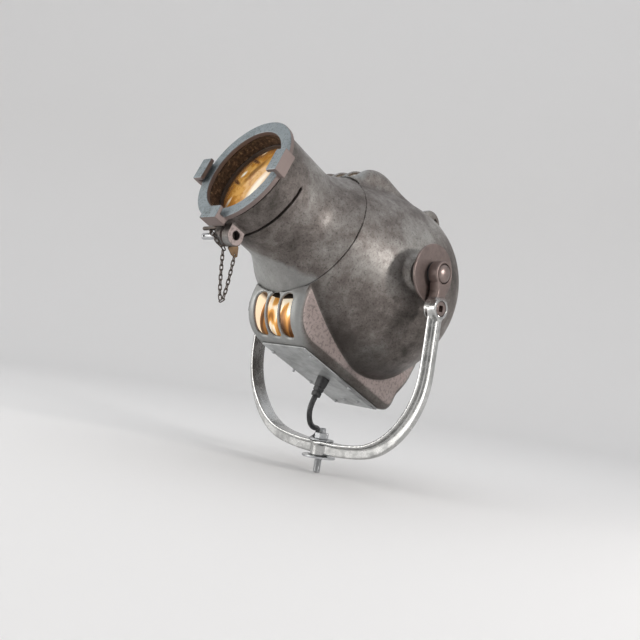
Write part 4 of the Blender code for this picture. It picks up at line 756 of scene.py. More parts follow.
@made_once("black_plastic")
def plastic_finish(name):
    """Black moulded plastic with a fine matt grain and slightly paler scuffs."""
    tone = tuple(colours().lead)
    made, tree, shader = blank_finish(name, tone, 0.42)
    vector = model_coordinates(tree)
    scuffs = noise(tree, vector, 140.0, 6.0, 0.7)
    paler = tuple(part + 0.035 for part in tone)
    feed(shader, "Base Color", ramp(tree, scuffs, (0.45, tone), (0.75, paler)))
    feed(shader, "Roughness", levels(tree, scuffs, 0.3, 0.7, 0.34, 0.52))
    bumped(tree, shader, noise(tree, vector, 1500.0, 2.0), 0.00008, 0.6)
    return made


def lit(shader, colour, strength):
    """Gives a shader one colour both as its own and as its glow."""
    feed(shader, "Base Color", colour)
    feed(shader, "Emission Color", colour)
    feed(shader, "Emission Strength", strength)


@made_once("warm_sheet")
def glow_finish(name):
    """The lit sheet behind the slots, a painted glow: cream, gold and brown streaks of painted light that
    darken away from the axis and towards the near side.
    """
    stops = (
        (0.28, (0.09, 0.038, 0.014)),
        (0.45, (0.36, 0.15, 0.035)),
        (0.57, (0.74, 0.38, 0.10)),
        (0.65, (1.0, 0.90, 0.72)),
    )
    made, tree, shader = blank_finish(name, (0.8, 0.5, 0.2), 0.35, 0.3)
    place = lamp_coordinates(tree)
    side, up, _ = parts_of(tree, place)
    slant = (0, 0, math.radians(35))
    slanted = add_node(tree, "Mapping", Vector=place, Rotation=slant, Scale=(62.0, 18.0, 18.0))
    streaks = noise(tree, slanted.outputs["Vector"], 1.0, 1.5, 0.4, 0.8)
    # Painted light: darker further from the axis, and darker towards the near side.
    away = levels(tree, maths(tree, "ABSOLUTE", up), 0.100, 0.134, 0.0, 1.0)
    near = levels(tree, side, -0.045, 0.045, 0.10, -0.06)
    darker = maths(tree, "MULTIPLY", away, -0.30)
    value = maths(tree, "ADD", maths(tree, "MULTIPLY", streaks, 1.1), darker)
    lit(shader, ramp(tree, maths(tree, "ADD", value, near), *stops), 0.55)
    return made


def closeness(tree, place, centre, turn, half_length, half_width):
    """How close each point of the lens is to an ellipse's centre: 1 there, 0 at its rim."""
    shift = add_node(tree, "Mapping", Location=(*centre, LENS_FACE_AT), Scale=(half_length, half_width, 1.0))
    shift.vector_type = "TEXTURE"
    feed(shift, "Rotation", (0, 0, math.radians(turn)))
    feed(shift, "Vector", place)
    length = add_node(tree, "VectorMath")
    length.operation = "LENGTH"
    feed(length, 0, shift.outputs["Vector"])
    return levels(tree, length.outputs["Value"], 0.35, 1.0, 1.0, 0.0)


@made_once("lit_lens_glass")
def lit_glass_finish(name):
    """The lens, painted with the lit lamp's amber reflector behind it.

    It is a painted glow, gold in its middle and brown at its rim, and the marks of LENS_MARKS, dark marks and
    painted highlights, show through it.
    """
    stops = (
        (0.10, (0.10, 0.035, 0.008)),
        (0.46, (0.30, 0.115, 0.018)),
        (0.80, (0.46, 0.205, 0.036)),
        (1.00, (0.62, 0.34, 0.09)),
    )
    made, tree, shader = blank_finish(name, tuple(colours().lens), 0.08)
    place = lamp_coordinates(tree)
    swirl = noise(tree, stretched(tree, place, (70.0, 70.0, 20.0)), 1.0, 5.0, 0.65, 1.6)
    middle = closeness(tree, place, (-0.004, 0.006), 0.0, 0.085, 0.085)
    amber = ramp(tree, maths(tree, "ADD", middle, levels(tree, swirl, 0.3, 0.7, -0.30, 0.22)), *stops)
    for colour, strength, *shape in LENS_MARKS:
        share = maths(tree, "MULTIPLY", closeness(tree, place, *shape), strength)
        amber = mixed(tree, share, amber, colour)
    # Painted glow: the lens glows with the light of the lamp behind it.
    lit(shader, amber, 0.24)
    feed(shader, "Coat Weight", 1.0)
    feed(shader, "Coat Roughness", 0.03)
    return made


# Castings.


def bell_field(side, up, along, inset=0.0):
    """The bell: in front a radius that falls as a power of the way there, behind half an ellipsoid."""
    size = settings()
    radius = np.sqrt(side * side + up * up)
    share = np.clip((along - BELL_WIDEST_AT) / (BELL_MOUTH_AT - BELL_WIDEST_AT), 0, 1.3)
    fall = size.bell_radius - BELL_MOUTH_RADIUS
    lean = fall * BELL_POWER * share ** (BELL_POWER - 1) / (BELL_MOUTH_AT - BELL_WIDEST_AT)
    front = (radius - size.bell_radius + fall * share**BELL_POWER) / np.sqrt(1 + lean * lean)
    back = along - BELL_WIDEST_AT
    ratio = np.sqrt((radius / size.bell_radius) ** 2 + (back / BELL_REAR_LENGTH) ** 2)
    steep = np.sqrt((radius / size.bell_radius**2) ** 2 + (back / BELL_REAR_LENGTH**2) ** 2)
    rear = ratio * (ratio - 1) / np.maximum(steep, 0.5)
    return np.where(along >= BELL_WIDEST_AT, front, rear) + inset


def vent_front(up, along, centre, reach_up, inset):
    """A flat top and a flat front joined by a quarter of a superellipse, in (up, along)."""
    reach_along = VENT_FRONT - VENT_CENTRE_AT
    a = np.maximum(up - centre, 0) / (reach_up - inset)
    b = np.maximum(along - VENT_CENTRE_AT, 0) / (reach_along - inset)
    return ((a**VENT_POWER + b**VENT_POWER) ** (1 / VENT_POWER) - 1) * (reach_up - inset)


def hood_field(side, up, along, inset=0.0):
    """The upper vent's hood: a rounded front and a flat rear between two flat sides."""
    front = vent_front(up, along, HOOD_CENTRE, HOOD_TOP - HOOD_CENTRE, inset)
    rear = slab(along, -0.045 + inset, 1.0)
    body = np.maximum(front, np.maximum(rear, 0.02 - up))
    return met(body, abs(side) - HOOD_HALF_WIDTH + inset, 0.013 - inset)


def lamp_box_outline():
    """The lower box's rear, in (up, along), as drawn from the photo, closed through the bell."""
    rear = [(-0.1427, -0.1240), (-0.1405, -0.1330), (-0.1350, -0.1385), (-0.1270, -0.1410)]
    rear += [(-0.1135, -0.1415), (-0.1030, -0.1460), (-0.0880, -0.1515), (-0.0690, -0.1540)]
    rear += [(-0.0490, -0.1545), (-0.0200, -0.1460)]
    return [(-0.30, 0.30), (-0.30, -0.1240), *map(tuple, smooth_path(rear, 0.006)), (-0.02, 0.30)]


BOX_OUTLINE = lamp_box_outline()


def lamp_box_field(side, up, along, inset=0.0):
    """The lower box: the rounded front mirrored below the axis, and the drawn rear."""
    front = vent_front(-up, along, BOX_CENTRE, BOX_BOTTOM - BOX_CENTRE, inset)
    rear = outline_field(up, along, BOX_OUTLINE) + inset
    body = np.maximum(np.maximum(front, rear), up + 0.02)
    return met(body, abs(side) - BOX_HALF_WIDTH + inset, 0.011 - inset)


def slot_field(side, up, along):
    """Three slots through each vent's rounded front, with round ends."""
    size = settings()
    nearest = np.minimum(abs(side), abs(abs(side) - size.slot_pitch))
    across = nearest - size.slot_width / 2
    ends = np.maximum(SLOT_STARTS - abs(up), SLOT_ENDS_AT - along)
    return met(across, ends, size.slot_width * 0.44)


def housing_field(side, up, along):
    """Bell, hood and lamp box run together, hollowed and cut for the slots, with bosses and lug."""
    radius = np.sqrt(side * side + up * up)
    outer = np.maximum(bell_field(side, up, along), along - BELL_MOUTH_AT)
    in_front = np.maximum(radius - BELL_MOUTH_RADIUS - 0.0008, BELL_MOUTH_AT - along)
    outer = joined(outer, np.maximum(hood_field(side, up, along), -in_front), 0.006)
    outer = joined(outer, np.maximum(lamp_box_field(side, up, along), -in_front), 0.0022)
    boss = met(np.sqrt(up * up + along * along) - 0.020, abs(side) - BOSS_FACE, 0.0015)
    outer = joined(outer, np.maximum(boss, 0.09 - abs(side)), 0.005)
    hollow = np.minimum(bell_field(side, up, along, BELL_WALL), hood_field(side, up, along, VENT_WALL))
    hollow = np.minimum(hollow, lamp_box_field(side, up, along, VENT_WALL))
    shell = np.maximum(met(outer, -hollow, 0.0012), -in_front)
    # The opening under the base plate.
    opening = np.maximum(abs(side) - 0.032, slab(along, -0.115, 0.035))
    shell = np.maximum(shell, -np.maximum(opening, up + 0.13))
    shell = met(shell, -slot_field(side, up, along), 0.0021)
    # The lug on the shoulder: an ellipse on edge, half of it proud of the bell, with a hole.
    lug = (np.sqrt(((up - 0.122) / 0.0200) ** 2 + ((along + 0.060) / 0.0215) ** 2) - 1) * 0.0200
    lug = met(lug, abs(side - 0.047) - 0.0045, 0.002)
    lug = np.maximum(lug, -np.maximum(bell_field(side, up, along, 0.002), 0.02 - abs(side)))
    hole = np.sqrt((up - 0.1320) ** 2 + (along + 0.066) ** 2) - 0.0036
    return met(joined(shell, lug, 0.003), -np.maximum(hole, 0.035 - side), 0.0008)


def snout_line(along, inner=False):
    """The snout's radius along its axis: a straight tube that flares smoothly into the skirt."""
    tube = settings().snout_radius
    flare = [(0.0860, 0.0940), (0.0888, 0.0925), (0.1010, 0.0845), (0.1120, 0.0777), (0.1240, 0.0718)]
    line = smooth_path([*flare, (0.1360, 0.0697), (0.1500, tube), (0.2300, tube)], 0.002)
    return np.interp(along, line[:, 0], line[:, 1] - (SNOUT_WALL if inner else 0.0))


def clamp_distance(up, along):
    """The distance from the clamp screw's axis."""
    return np.sqrt((up - CLAMP_UP) ** 2 + (along - CLAMP_ALONG) ** 2)


def snout_field(side, up, along):
    """The flared tube, its bore, the clamp's slit and split, and the two ears."""
    radius = np.sqrt(side * side + up * up)
    steepness = (snout_line(along + 0.001) - snout_line(along - 0.001)) / 0.002
    lean = np.sqrt(1 + steepness * steepness)
    outer = met((radius - snout_line(along)) / lean, slab(along, SKIRT_REAR_AT, SNOUT_FRONT_AT), 0.0012)
    ear = [(-0.0655, 0.2055), (-0.0655, 0.1830), (-0.0750, 0.1815), (-0.0790, 0.1795)]
    for angle in np.radians(np.linspace(-172, 8, 16)):
        ear.append((CLAMP_UP + 0.0130 * math.sin(angle), CLAMP_ALONG + 0.0130 * math.cos(angle)))
    ears = met(outline_field(up, along, ear), abs(abs(side) - 0.00775) - 0.00625, 0.0010)
    outer = joined(outer, ears, 0.0025)
    bore = np.minimum(radius - SNOUT_BORE, (radius - snout_line(along, True)) / lean)
    slit = met(abs(along - SLIT_AT) - 0.0014, up + 0.0005, 0.0013)
    split = np.maximum(abs(side) - 0.0015, np.maximum(SLIT_AT - 0.0005 - along, up + 0.05))
    shell = met(met(outer, -bore, 0.0010), -slit, 0.0006)
    return met(np.maximum(shell, -split), SCREW_HOLE - clamp_distance(up, along), 0.0007)


def build_housing():
    axes = [
        ((-0.142, 0.0030), (-0.058, 0.0019), (0.058, 0.0030), 0.142),
        ((-0.150, 0.0019), (-0.086, 0.0030), (0.084, 0.0019), 0.145),
        ((-0.170, 0.0031), (-0.086, 0.0024), (-0.034, 0.0031), (0.042, 0.0020), (0.082, 0.0015), 0.096),
    ]
    field_piece("housing_shell", housing_field, axes, LAMP, cast_finish(), "lamp", ["rear_housing"])


def build_snout():
    axes = [
        ((-0.098, 0.0028), (-0.018, 0.0011), (0.018, 0.0028), 0.098),
        ((-0.096, 0.0012), (-0.060, 0.0028), 0.098),
        ((0.0866, 0.0010), (0.0916, 0.0027), (0.172, 0.0011), 0.214),
    ]
    field_piece("snout_shell", snout_field, axes, LAMP, cast_finish(), "lamp", ["front_snout"])


def ring_field(side, up, along):
    """The flat ring and its three frame runners, each a channel section (outwards, along) carried across."""
    radius = np.sqrt(side * side + up * up)
    ring = met(np.maximum(radius - 0.074, LENS_SEAT - radius), slab(along, 0.2142, 0.2207), 0.0010)
    for outwards, across in ((side, up), (-side, up), (-up, side)):
        runner = met(outline_field(outwards, along, RUNNER_SECTION), abs(across) - 0.0155, 0.0014)
        ring = joined(ring, runner, 0.0015)
    return ring


def build_lens_group():
    body = "lens_carriage"
    axes = [((-0.084, 0.0014), 0.084), ((-0.084, 0.0014), 0.078), ((0.2120, 0.0011), 0.2340)]
    field_piece("frame_ring", ring_field, axes, LAMP, bare_finish(), body, ["front_ring"])
    tube = [(0.0620, 0.2139), (0.0620, 0.1400), (LENS_SEAT, 0.1400), (LENS_SEAT, 0.1850), (0.0558, 0.1850)]
    tube += [(0.0558, 0.1877), (LENS_SEAT, 0.1877), (LENS_SEAT, 0.2139)]
    turned_piece("lens_barrel", tube, rusty_finish(), body, LAMP, 0.0003, 96, True, ["lens_tube"])
    lens = [(0.0580 * share, 0.192 + 0.009 * (1 - share * share)) for share in np.linspace(0, 1, 20)]
    lens += [(0.0580, 0.188), (0.0, 0.188)]
    turned_piece("lens_glass", lens, lit_glass_finish(), body, LAMP, 0.0004, 96, False, ["lens"])
    clip = [(0.0582, 0.1975), (0.0582, 0.1926), (0.0552, 0.1926), (0.0560, 0.1975)]
    node = "lens_retaining_ring"
    turned_piece("lens_clip", clip, dark_steel_finish(), body, LAMP, 0.0005, 96, True, [node])


# Clamp, pin and chain.


def tilt_axis_at(up, along):
    """A place on the lamp whose Z axis runs across it, towards the near arm."""
    return Matrix.Translation(lamp_place(0, up, along)) @ NEAR_TURN


def clamp_field(across, over, outward):
    """The clamp screw about its axis: shank, collar and thumb bar, with a cross hole and a bored end."""
    radius = np.sqrt(across * across + over * over)
    half = [(-0.01, 0.0070), (0.0043, 0.0070), (0.0049, 0.0060), (0.0049, -0.0143), (0.0065, -0.0143)]
    half += [(0.0065, -0.0187), (0.0042, -0.0202), (0.0042, -0.0510), (0.0034, -0.0520), (-0.01, -0.0520)]
    body = outline_field(radius, outward, half)
    groove = met(0.0036 - radius, abs(outward + 0.0262) - 0.0011, 0.0002)
    hole = np.sqrt(over * over + (outward + 0.0460) ** 2) - 0.0016
    return met(np.maximum(body, -groove), -hole, 0.0003)


def build_clamp():
    axes = [((-0.0072, 0.0006), 0.0072), ((-0.0072, 0.0006), 0.0072), ((-0.0530, 0.0006), 0.0108)]
    place = tilt_axis_at(CLAMP_UP, CLAMP_ALONG)
    field_piece("clamp_bar", clamp_field, axes, place, clamp_finish(), "clamp", ["clamp_screw"])
    pin = [(0.0, -0.0080), (0.0025, -0.0080), (0.0025, -0.0170), (0.0042, -0.0205), (0.0042, -0.0232)]
    pin += [(0.0025, -0.0245), (0.0025, -0.0470), (0.0018, -0.0480), (0.0, -0.0480)]
    place = tilt_axis_at(PIN_UP, PIN_ALONG)
    turned_piece("captive_pin", pin, dark_steel_finish(), "lamp", place, 0.0005, 28, False, ["frame_pin"])


def tab_field(side, up, along):
    """The flat tab: an eye round the clamp screw that tapers to the chain's first link."""
    eye = clamp_distance(up, along)
    tail = [(-0.0910, 0.1850), (-0.0948, 0.1765), (-0.0952, 0.1712), (-0.0925, 0.1690), (-0.0830, 0.1735)]
    body = joined(eye - 0.0085, outline_field(up, along, [*tail, (-0.0755, 0.1850)]) - 0.0006, 0.003)
    hole = np.minimum(eye - SCREW_HOLE, np.sqrt((up + 0.0928) ** 2 + (along - 0.1722) ** 2) - 0.0012)
    return met(met(body, -hole, 0.0003), abs(side) - 0.0012, 0.0004)


def chain_line():
    """A free loop from the tab, a parabola whose sag is found by bisection, then the way round the ears."""
    way = [np.array(lamp_place(-0.022, PIN_UP, PIN_ALONG)) + (0, -0.004, -0.003)]
    for side, degrees in ((-0.0165, -15), (-0.0100, -33), (-0.0050, -55), (-0.0030, -78), (-0.0020, -97)):
        angle = math.radians(degrees)
        up, along = CLAMP_UP + 0.0158 * math.sin(angle), CLAMP_ALONG + 0.0158 * math.cos(angle)
        way.append(np.array(lamp_place(side, up, along)))
    round_ears = smooth_path(way, 0.001)
    first, last = np.array(lamp_place(0, -0.0940, 0.1722)), round_ears[-1]
    t = np.linspace(0, 1, 400)[:, None]
    low, high = 0.01, 0.2
    for _ in range(40):
        sag = (low + high) / 2
        points = first + (last - first) * t - np.array([0, 0, 4 * sag]) * t * (1 - t)
        if steps_along(points).sum() > CHAIN_LOOP:
            high = sag
        else:
            low = sag
    return np.vstack([points, round_ears[-2::-1]])


def build_chain():
    """Oval links, each a round wire carried round a stadium, turned a quarter from link to link."""
    line = chain_line()
    run = np.concatenate([[0], np.cumsum(steps_along(line))])
    count = round(run[-1] / CHAIN_PITCH)
    pitch = run[-1] / count
    at = (np.arange(count) + 0.5) * pitch
    middle = np.stack([np.interp(at, run, line[:, k]) for k in range(3)], axis=1)
    ahead = unit(np.stack([np.interp(at + 0.001, run, line[:, k]) for k in range(3)], axis=1) - middle)
    level = unit(np.cross(ahead, np.array([0.35, 1.0, 0.0])))
    twist = np.pi / 4 + np.pi / 2 * (np.arange(count)[:, None] % 2)
    side = level * np.cos(twist) + np.cross(ahead, level) * np.sin(twist)
    frames = np.stack([ahead, side, np.cross(ahead, side)], axis=1)

    # One link: two half circles of LINK_RADIUS, set apart along the chain.
    turn = np.linspace(0, 2 * math.pi, LINK_STEPS, endpoint=False)
    outward = np.stack([np.cos(turn), np.sin(turn)], axis=1)
    loop = LINK_RADIUS * outward
    loop[:, 0] += np.sign(outward[:, 0]) * (pitch / 2 + WIRE_RADIUS - LINK_RADIUS)
    around = np.linspace(0, 2 * math.pi, WIRE_STEPS, endpoint=False)
    flat_normal = outward[:, None] * np.cos(around)[:, None]
    rise = np.broadcast_to(np.sin(around), (LINK_STEPS, WIRE_STEPS))[..., None]
    local = np.concatenate([loop[:, None] + flat_normal * WIRE_RADIUS, rise * WIRE_RADIUS], axis=-1)
    normal = np.concatenate([flat_normal, rise], axis=-1)

    points = (np.einsum("abk,nkj->nabj", local, frames) + middle[:, None, None]).reshape(-1, 3)
    normals = np.einsum("abk,nkj->nabj", normal, frames).reshape(-1, 3)
    starts = np.arange(count)[:, None, None] * LINK_STEPS * WIRE_STEPS
    faces = (grid_faces(LINK_STEPS, WIRE_STEPS, wrap_rows=True)[None] + starts).reshape(-1, 4)
    lay_piece("retaining_chain", points, [faces], normals, UPRIGHT, dark_steel_finish(), "lamp", ["chain"])
    axes = [((-0.0022, 0.0006), 0.0022), ((-0.0980, 0.0007), -0.0680), ((0.1670, 0.0007), 0.2030)]
    field_piece("brass_tab", tab_field, axes, LAMP, brass_finish(), "lamp", ["chain_tab"])


# Yoke, pivots and foot.


def bow_line(spacing):
    """The bow's inner curve, right half, in (side, height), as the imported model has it."""
    rise = ARM_BOSS_HEIGHT - 0.3 * ARM_BOSS_RADIUS - BOW_FLOOR
    points = [(BOW_INSIDE * side, BOW_FLOOR + rise * height) for side, height in BOW_SHAPE]
    return smooth_path(points, spacing)


def link_outline():
    """The arm end in (Y, height): a waisted link between its boss and the pivot eye."""
    low = ARM_BOSS_HEIGHT
    right = [(0.0096, low), (0.0096, low + 0.0082), (0.0086, low + 0.0150), (0.0078, low + 0.0215)]
    right.append((0.0090, PIVOT_HEIGHT - 0.0170))
    for angle in np.radians(np.linspace(-50, 90, 14)):
        right.append((0.0157 * math.cos(angle), PIVOT_HEIGHT + 0.0157 * math.sin(angle)))
    return [*right, *[(-y, z) for y, z in right[-2::-1]]]


YOKE_INNER = [(-0.05, BOW_FLOOR), *map(tuple, bow_line(0.004)), (BOW_INSIDE, 0.40), (-0.05, 0.40)]
LINK_OUTLINE = link_outline()


def yoke_field(x, y, z):
    """The bow's T section laid against its inner curve, with its bosses, links and eyes."""
    side = abs(x)
    centre = np.sqrt(x * x + y * y)
    low = np.sqrt(y * y + (z - ARM_BOSS_HEIGHT) ** 2)
    high = np.sqrt(y * y + (z - PIVOT_HEIGHT) ** 2)
    out = outline_field(side, z, YOKE_INNER)
    flange = met(slab(out, 0.0, 0.0045), abs(y) - settings().yoke_width / 2, 0.0013)
    reach = 0.0175 - 0.0048 * np.clip((z - BOW_FLOOR) / 0.12, 0, 1)
    rib = met(slab(out, 0.002, 1.0) + 0 * y, abs(y) - 0.00375, 0.0001)
    rib = met(rib, out - reach, 0.0016)
    bow = np.maximum(joined(flange, rib, 0.0016), z - 0.2110)
    bow = joined(bow, met(centre - 0.0125, slab(z, 0.0033, 0.0210), 0.0010), 0.0030)
    bow = joined(bow, met(low - ARM_BOSS_RADIUS, slab(side, 0.1530, 0.1712), 0.0014), 0.0035)
    bow = joined(bow, met(outline_field(y, z, LINK_OUTLINE), slab(side, 0.1544, 0.1685), 0.0018), 0.0028)
    # The pockets for the screw and the bolt's head, and the holes for the bolt and the stud.
    bow = met(bow, -np.maximum(low - 0.0095, 0.1592 - side), 0.0007)
    bow = met(bow, -np.maximum(high - 0.0125, 0.1645 - side), 0.0009)
    bow = np.maximum(bow, -np.maximum(high - BOLT_HOLE, 0.10 - side))
    return np.maximum(bow, BOLT_HOLE - centre)


def screw_field(across, over, outward):
    """A flush screw with a square socket, its face outward."""
    body = met(np.sqrt(across * across + over * over) - 0.0092, slab(outward, 0.1595, 0.1706), 0.0008)
    square = met(abs(across) - 0.00375, abs(over) - 0.00375, 0.0004)
    return met(body, -np.maximum(square, 0.1632 - outward), 0.0004)


def build_yoke():
    axes = [
        ((-0.1740, 0.0009), (-0.1520, 0.0018), (0.1520, 0.0009), 0.1740),
        ((-0.0176, 0.0010), 0.0176),
        ((0.0010, 0.0014), (0.0360, 0.0024), (0.1950, 0.0009), 0.2750),
    ]
    field_piece("bow_yoke", yoke_field, axes, UPRIGHT, polished_finish(), "yoke", ["yoke"])
    axes = [((-0.0104, 0.0008), 0.0104), ((-0.0104, 0.0008), 0.0104), ((0.1585, 0.0008), 0.1716)]
    for side, turn in SIDES:
        place = Matrix.Translation((0, 0, ARM_BOSS_HEIGHT)) @ turn
        nodes = [f"{side}_socket_screw"]
        field_piece(f"{side}_square_screw", screw_field, axes, place, worn_steel_finish(), "yoke", nodes)


def build_pivots():
    """On each side, outwards along the tilt axis: spacer, friction disc, fibre washer and domed bolt."""
    spacer = ring_profile(BOLT_HOLE, 0.0095, 0.1308, 0.1480)
    disc = ring_profile(BOLT_HOLE, 0.0374, 0.1483, 0.1518)
    washer = ring_profile(BOLT_HOLE, 0.0147, 0.1521, 0.1541)
    angles = np.radians(np.linspace(84, 0, 15))
    bolt = [(0.0, 0.1720), *[(0.0122 * math.cos(a), 0.1656 + 0.0064 * math.sin(a)) for a in angles]]
    bolt += [(0.0122, 0.1648), (0.0050, 0.1648), (0.0050, 0.1120), (0.0, 0.1120)]
    rows = (
        ("spacer", spacer, zinc_finish(), 0.0005, 40, True, "pivot_spacer"),
        ("disc", disc, worn_steel_finish(), 0.0009, 96, True, "friction_disc"),
        ("washer", washer, plastic_finish(), 0.0004, 48, True, "fibre_washer"),
        ("bolt", bolt, worn_steel_finish(), 0.0005, 48, False, "pivot_bolt"),
    )
    for side, turn in SIDES:
        for name, profile, finish, radius, steps, closed, node in rows:
            title, nodes = f"{side}_{name}", [f"{side}_{node}"]
            turned_piece(title, profile, finish, "lamp", PIVOT @ turn, radius, steps, closed, nodes)


def nut_field(x, y, z):
    """A hexagon about Z, its corners cut by a cone at either end, with the thread's hole."""
    radius = np.sqrt(x * x + y * y)
    ends = abs(z - NUT_HEIGHT) - 0.0040
    flats = abs(y)
    for angle in (math.pi / 3, 2 * math.pi / 3):
        flats = np.maximum(flats, abs(y * math.cos(angle) + x * math.sin(angle)))
    body = met(flats - 0.0085, ends, 0.0002)
    cone = 0.5 * (radius - 0.0088) + 0.866 * ends
    return met(met(body, cone, 0.0002), 0.0052 - radius, 0.0003)


def build_foot():
    zinc = zinc_finish()
    low = ring_profile(BOLT_HOLE, 0.0230, 0.0, 0.0030)
    turned_piece("foot_plate_washer", low, zinc, "foot", UPRIGHT, 0.0006, 80, True, ["foot_washer"])
    top = ring_profile(BOLT_HOLE, 0.0175, 0.0235, 0.0253)
    turned_piece("clamping_washer", top, zinc, "foot", UPRIGHT, 0.0005, 72, True, ["yoke_washer"])
    axes = [((-0.0106, 0.0006), 0.0106), ((-0.0092, 0.0006), 0.0092), ((0.0248, 0.0006), 0.0344)]
    field_piece("clamping_nut", nut_field, axes, UPRIGHT, zinc, "foot", ["yoke_nut"])
    build_stud()


def build_stud():
    """The stud: a radius that dips along a helix of 1.5 mm pitch, with chamfered ends."""
    height = np.linspace(0.0401, -0.0200, 241)[:, None]
    angle = np.linspace(0, 2 * math.pi, 36, endpoint=False)[None]
    phase = (height / 0.0015 - angle / (2 * math.pi)) % 1.0
    groove = 0.0008 * np.minimum(1.0, 2.4 * abs(phase - 0.5))
    ends = np.minimum(height.max() - height, height - height.min())
    radius = np.minimum(0.0050 - 0.0008 + groove, 0.0038 + ends)
    rings = np.stack([radius * np.cos(angle), radius * np.sin(angle), height + 0 * angle], axis=-1)
    rows, columns = rings.shape[:2]
    faces = [grid_faces(rows, columns), *end_faces(rows, columns)]
    points = rings.reshape(-1, 3)
    lay_piece("threaded_stud", points, faces, None, UPRIGHT, zinc_finish(), "foot", ["pivot_stud"])


# Plate, boot and inside.


def rounded_rectangle(low, high, radius, steps=8):
    """The points and outward normals of a rectangle with round corners, anticlockwise."""
    inner_low, inner_high = np.array(low) + radius, np.array(high) - radius
    corners = ((inner_high[0], inner_high[1]), (inner_low[0], inner_high[1]))
    corners += ((inner_low[0], inner_low[1]), (inner_high[0], inner_low[1]))
    points, normals = [], []
    for number, centre in enumerate(corners):
        angle = np.linspace(number, number + 1, steps) * math.pi / 2
        normal = np.stack([np.cos(angle), np.sin(angle)], axis=1)
        normals.append(normal)
        points.append(centre + radius * normal)
    return np.vstack(points), np.vstack(normals)


def rimmed_piece(name, outline, section, finish, body, place, radius, closed, nodes):
    """A section of (outwards, height), its outer side running down, carried round an outline.

    Each point is the outline's point plus its normal times the section's first number, at the
    height of the second. An open section is closed above and below by flat faces.
    """
    edge, normal = outline
    line, tangent = softened(section, radius, closed)
    rows, columns = len(line), len(edge)
    flat = edge[None] + normal[None] * line[:, None, :1]
    height = np.repeat(line[:, None, 1:], columns, axis=1)
    points = np.concatenate([flat, height], axis=-1).reshape(-1, 3)
    out = normal[None] * -tangent[:, None, 1:]
    rise = np.repeat(tangent[:, None, :1], columns, axis=1)
    normals = np.concatenate([out, rise], axis=-1).reshape(-1, 3)
    faces = [grid_faces(rows, columns, wrap_rows=closed)]
    if not closed:
        faces += end_faces(rows, columns)
    return lay_piece(name, points, faces, normals, place, finish, body, nodes)


@made_once("cover_plate")
def plate_finish(name):
    """The plate's pale sheet with a darker band along its near edge."""
    made, split = zoned_copy(name, sheet_finish())
    tree = made.node_tree
    edge = levels(tree, split[0], 0.0305, 0.0312, 0.0, 0.60)
    behind = levels(tree, split[2], -0.0440, -0.0300, 1.0, 0.0)
    recolour(made, maths(tree, "MULTIPLY", edge, behind), (0.12, 0.12, 0.12))
    return made


def build_base():
    flat = LAMP @ Matrix(((0, 1, 0, 0), (0, 0, 1, 0), (1, 0, 0, 0), (0, 0, 0, 1)))
    outline = rounded_rectangle((-0.1246, -0.0412), (0.0440, 0.0412), 0.0030)
    section = [(-0.0020, -0.1430), (0.0, -0.1430), (0.0, -0.1450), (-0.0020, -0.1450)]
    rimmed_piece("cover_plate", outline, section, plate_finish(), "lamp", flat, 0.0005, False, ["base_plate"])

    def under_plate(side, along):
        """A place on the plate's face, its Z axis down."""
        return LAMP @ Matrix.Translation((side, PLATE_FACE, along)) @ Matrix.Rotation(math.pi / 2, 4, "X")

    head = [(0.0, 0.0021), (0.0012, 0.0020), (0.0022, 0.0015), (0.0029, 0.0007), (0.0030, 0.0), (0.0, 0.0)]
    places = [(side * 0.0370, along) for side in (-1, 1) for along in (0.022, -0.062)]
    places += [(-0.0075, -0.1075), (0.0183, -0.1075), (0.034, -0.1181), (-0.034, -0.1181)]
    for number, at in enumerate(places, start=1):
        title, nodes = f"cover_screw_{number}", [f"base_screw_{number}"]
        turned_piece(title, head, zinc_finish(), "lamp", under_plate(*at), 0.0003, 24, False, nodes)
    half = 0.0052
    outline = rounded_rectangle((-half, -half), (half, half), 0.0022, 6)
    section = [(-0.0030, 0.0270), (-0.0004, 0.0270), (0.0000, 0.0262), (0.0003, 0.0215), (-0.0004, 0.0208)]
    section += [(-0.0003, 0.0196), (0.0006, 0.0188), (0.0010, 0.0150), (0.0003, 0.0143), (0.0004, 0.0131)]
    section += [(0.0013, 0.0123), (0.0018, 0.0070), (0.0021, 0.0012), (0.0023, 0.0), (-0.0030, 0.0)]
    place, nodes = under_plate(0.005, -0.042), ["cord_boot"]
    rimmed_piece("strain_relief", outline, section, plastic_finish(), "lamp", place, 0.0004, False, nodes)


@made_once("glazed_ceramic")
def ceramic_finish(name):
    return blank_finish(name, (0.82, 0.79, 0.72), 0.25)[0]


@made_once("lit_bulb")
def bulb_finish(name):
    made, _, shader = blank_finish(name, (1.0, 0.86, 0.62), 0.15)
    feed(shader, "Emission Color", (1.0, 0.82, 0.55, 1.0))
    feed(shader, "Emission Strength", 3.0)
    return made


def baffle_sheet(name, sign, reach, half_width, node):
    """A lit sheet behind a vent's slots: a quarter of an ellipse in (up, along), run on towards the axis."""
    outer, inner = [(0.0780, 0.0642)], [(0.0780, 0.0630)]
    for angle in np.linspace(0, math.pi / 2, 16):
        for side, thin in ((outer, 0.0), (inner, 0.0012)):
            up = 0.0970 + (reach - 0.0970 - thin) * math.sin(angle)
            side.append((up, 0.0382 + (0.0260 - thin) * math.cos(angle)))
    ring = [(sign * up, along) for up, along in [*inner, *outer[::-1]]]
    points, tangents = softened(ring if sign > 0 else ring[::-1], 0.0002, True, 2)
    length = np.maximum(np.linalg.norm(tangents, axis=1), 1e-9)[:, None]
    outline = points, np.stack([tangents[:, 1], -tangents[:, 0]], axis=1) / length
    section = [(-0.0001, half_width), (0.0, half_width), (0.0, -half_width), (-0.0001, -half_width)]
    rimmed_piece(name, outline, section, glow_finish(), "lamp", LAMP @ NEAR_TURN, 0.00005, False, [node])


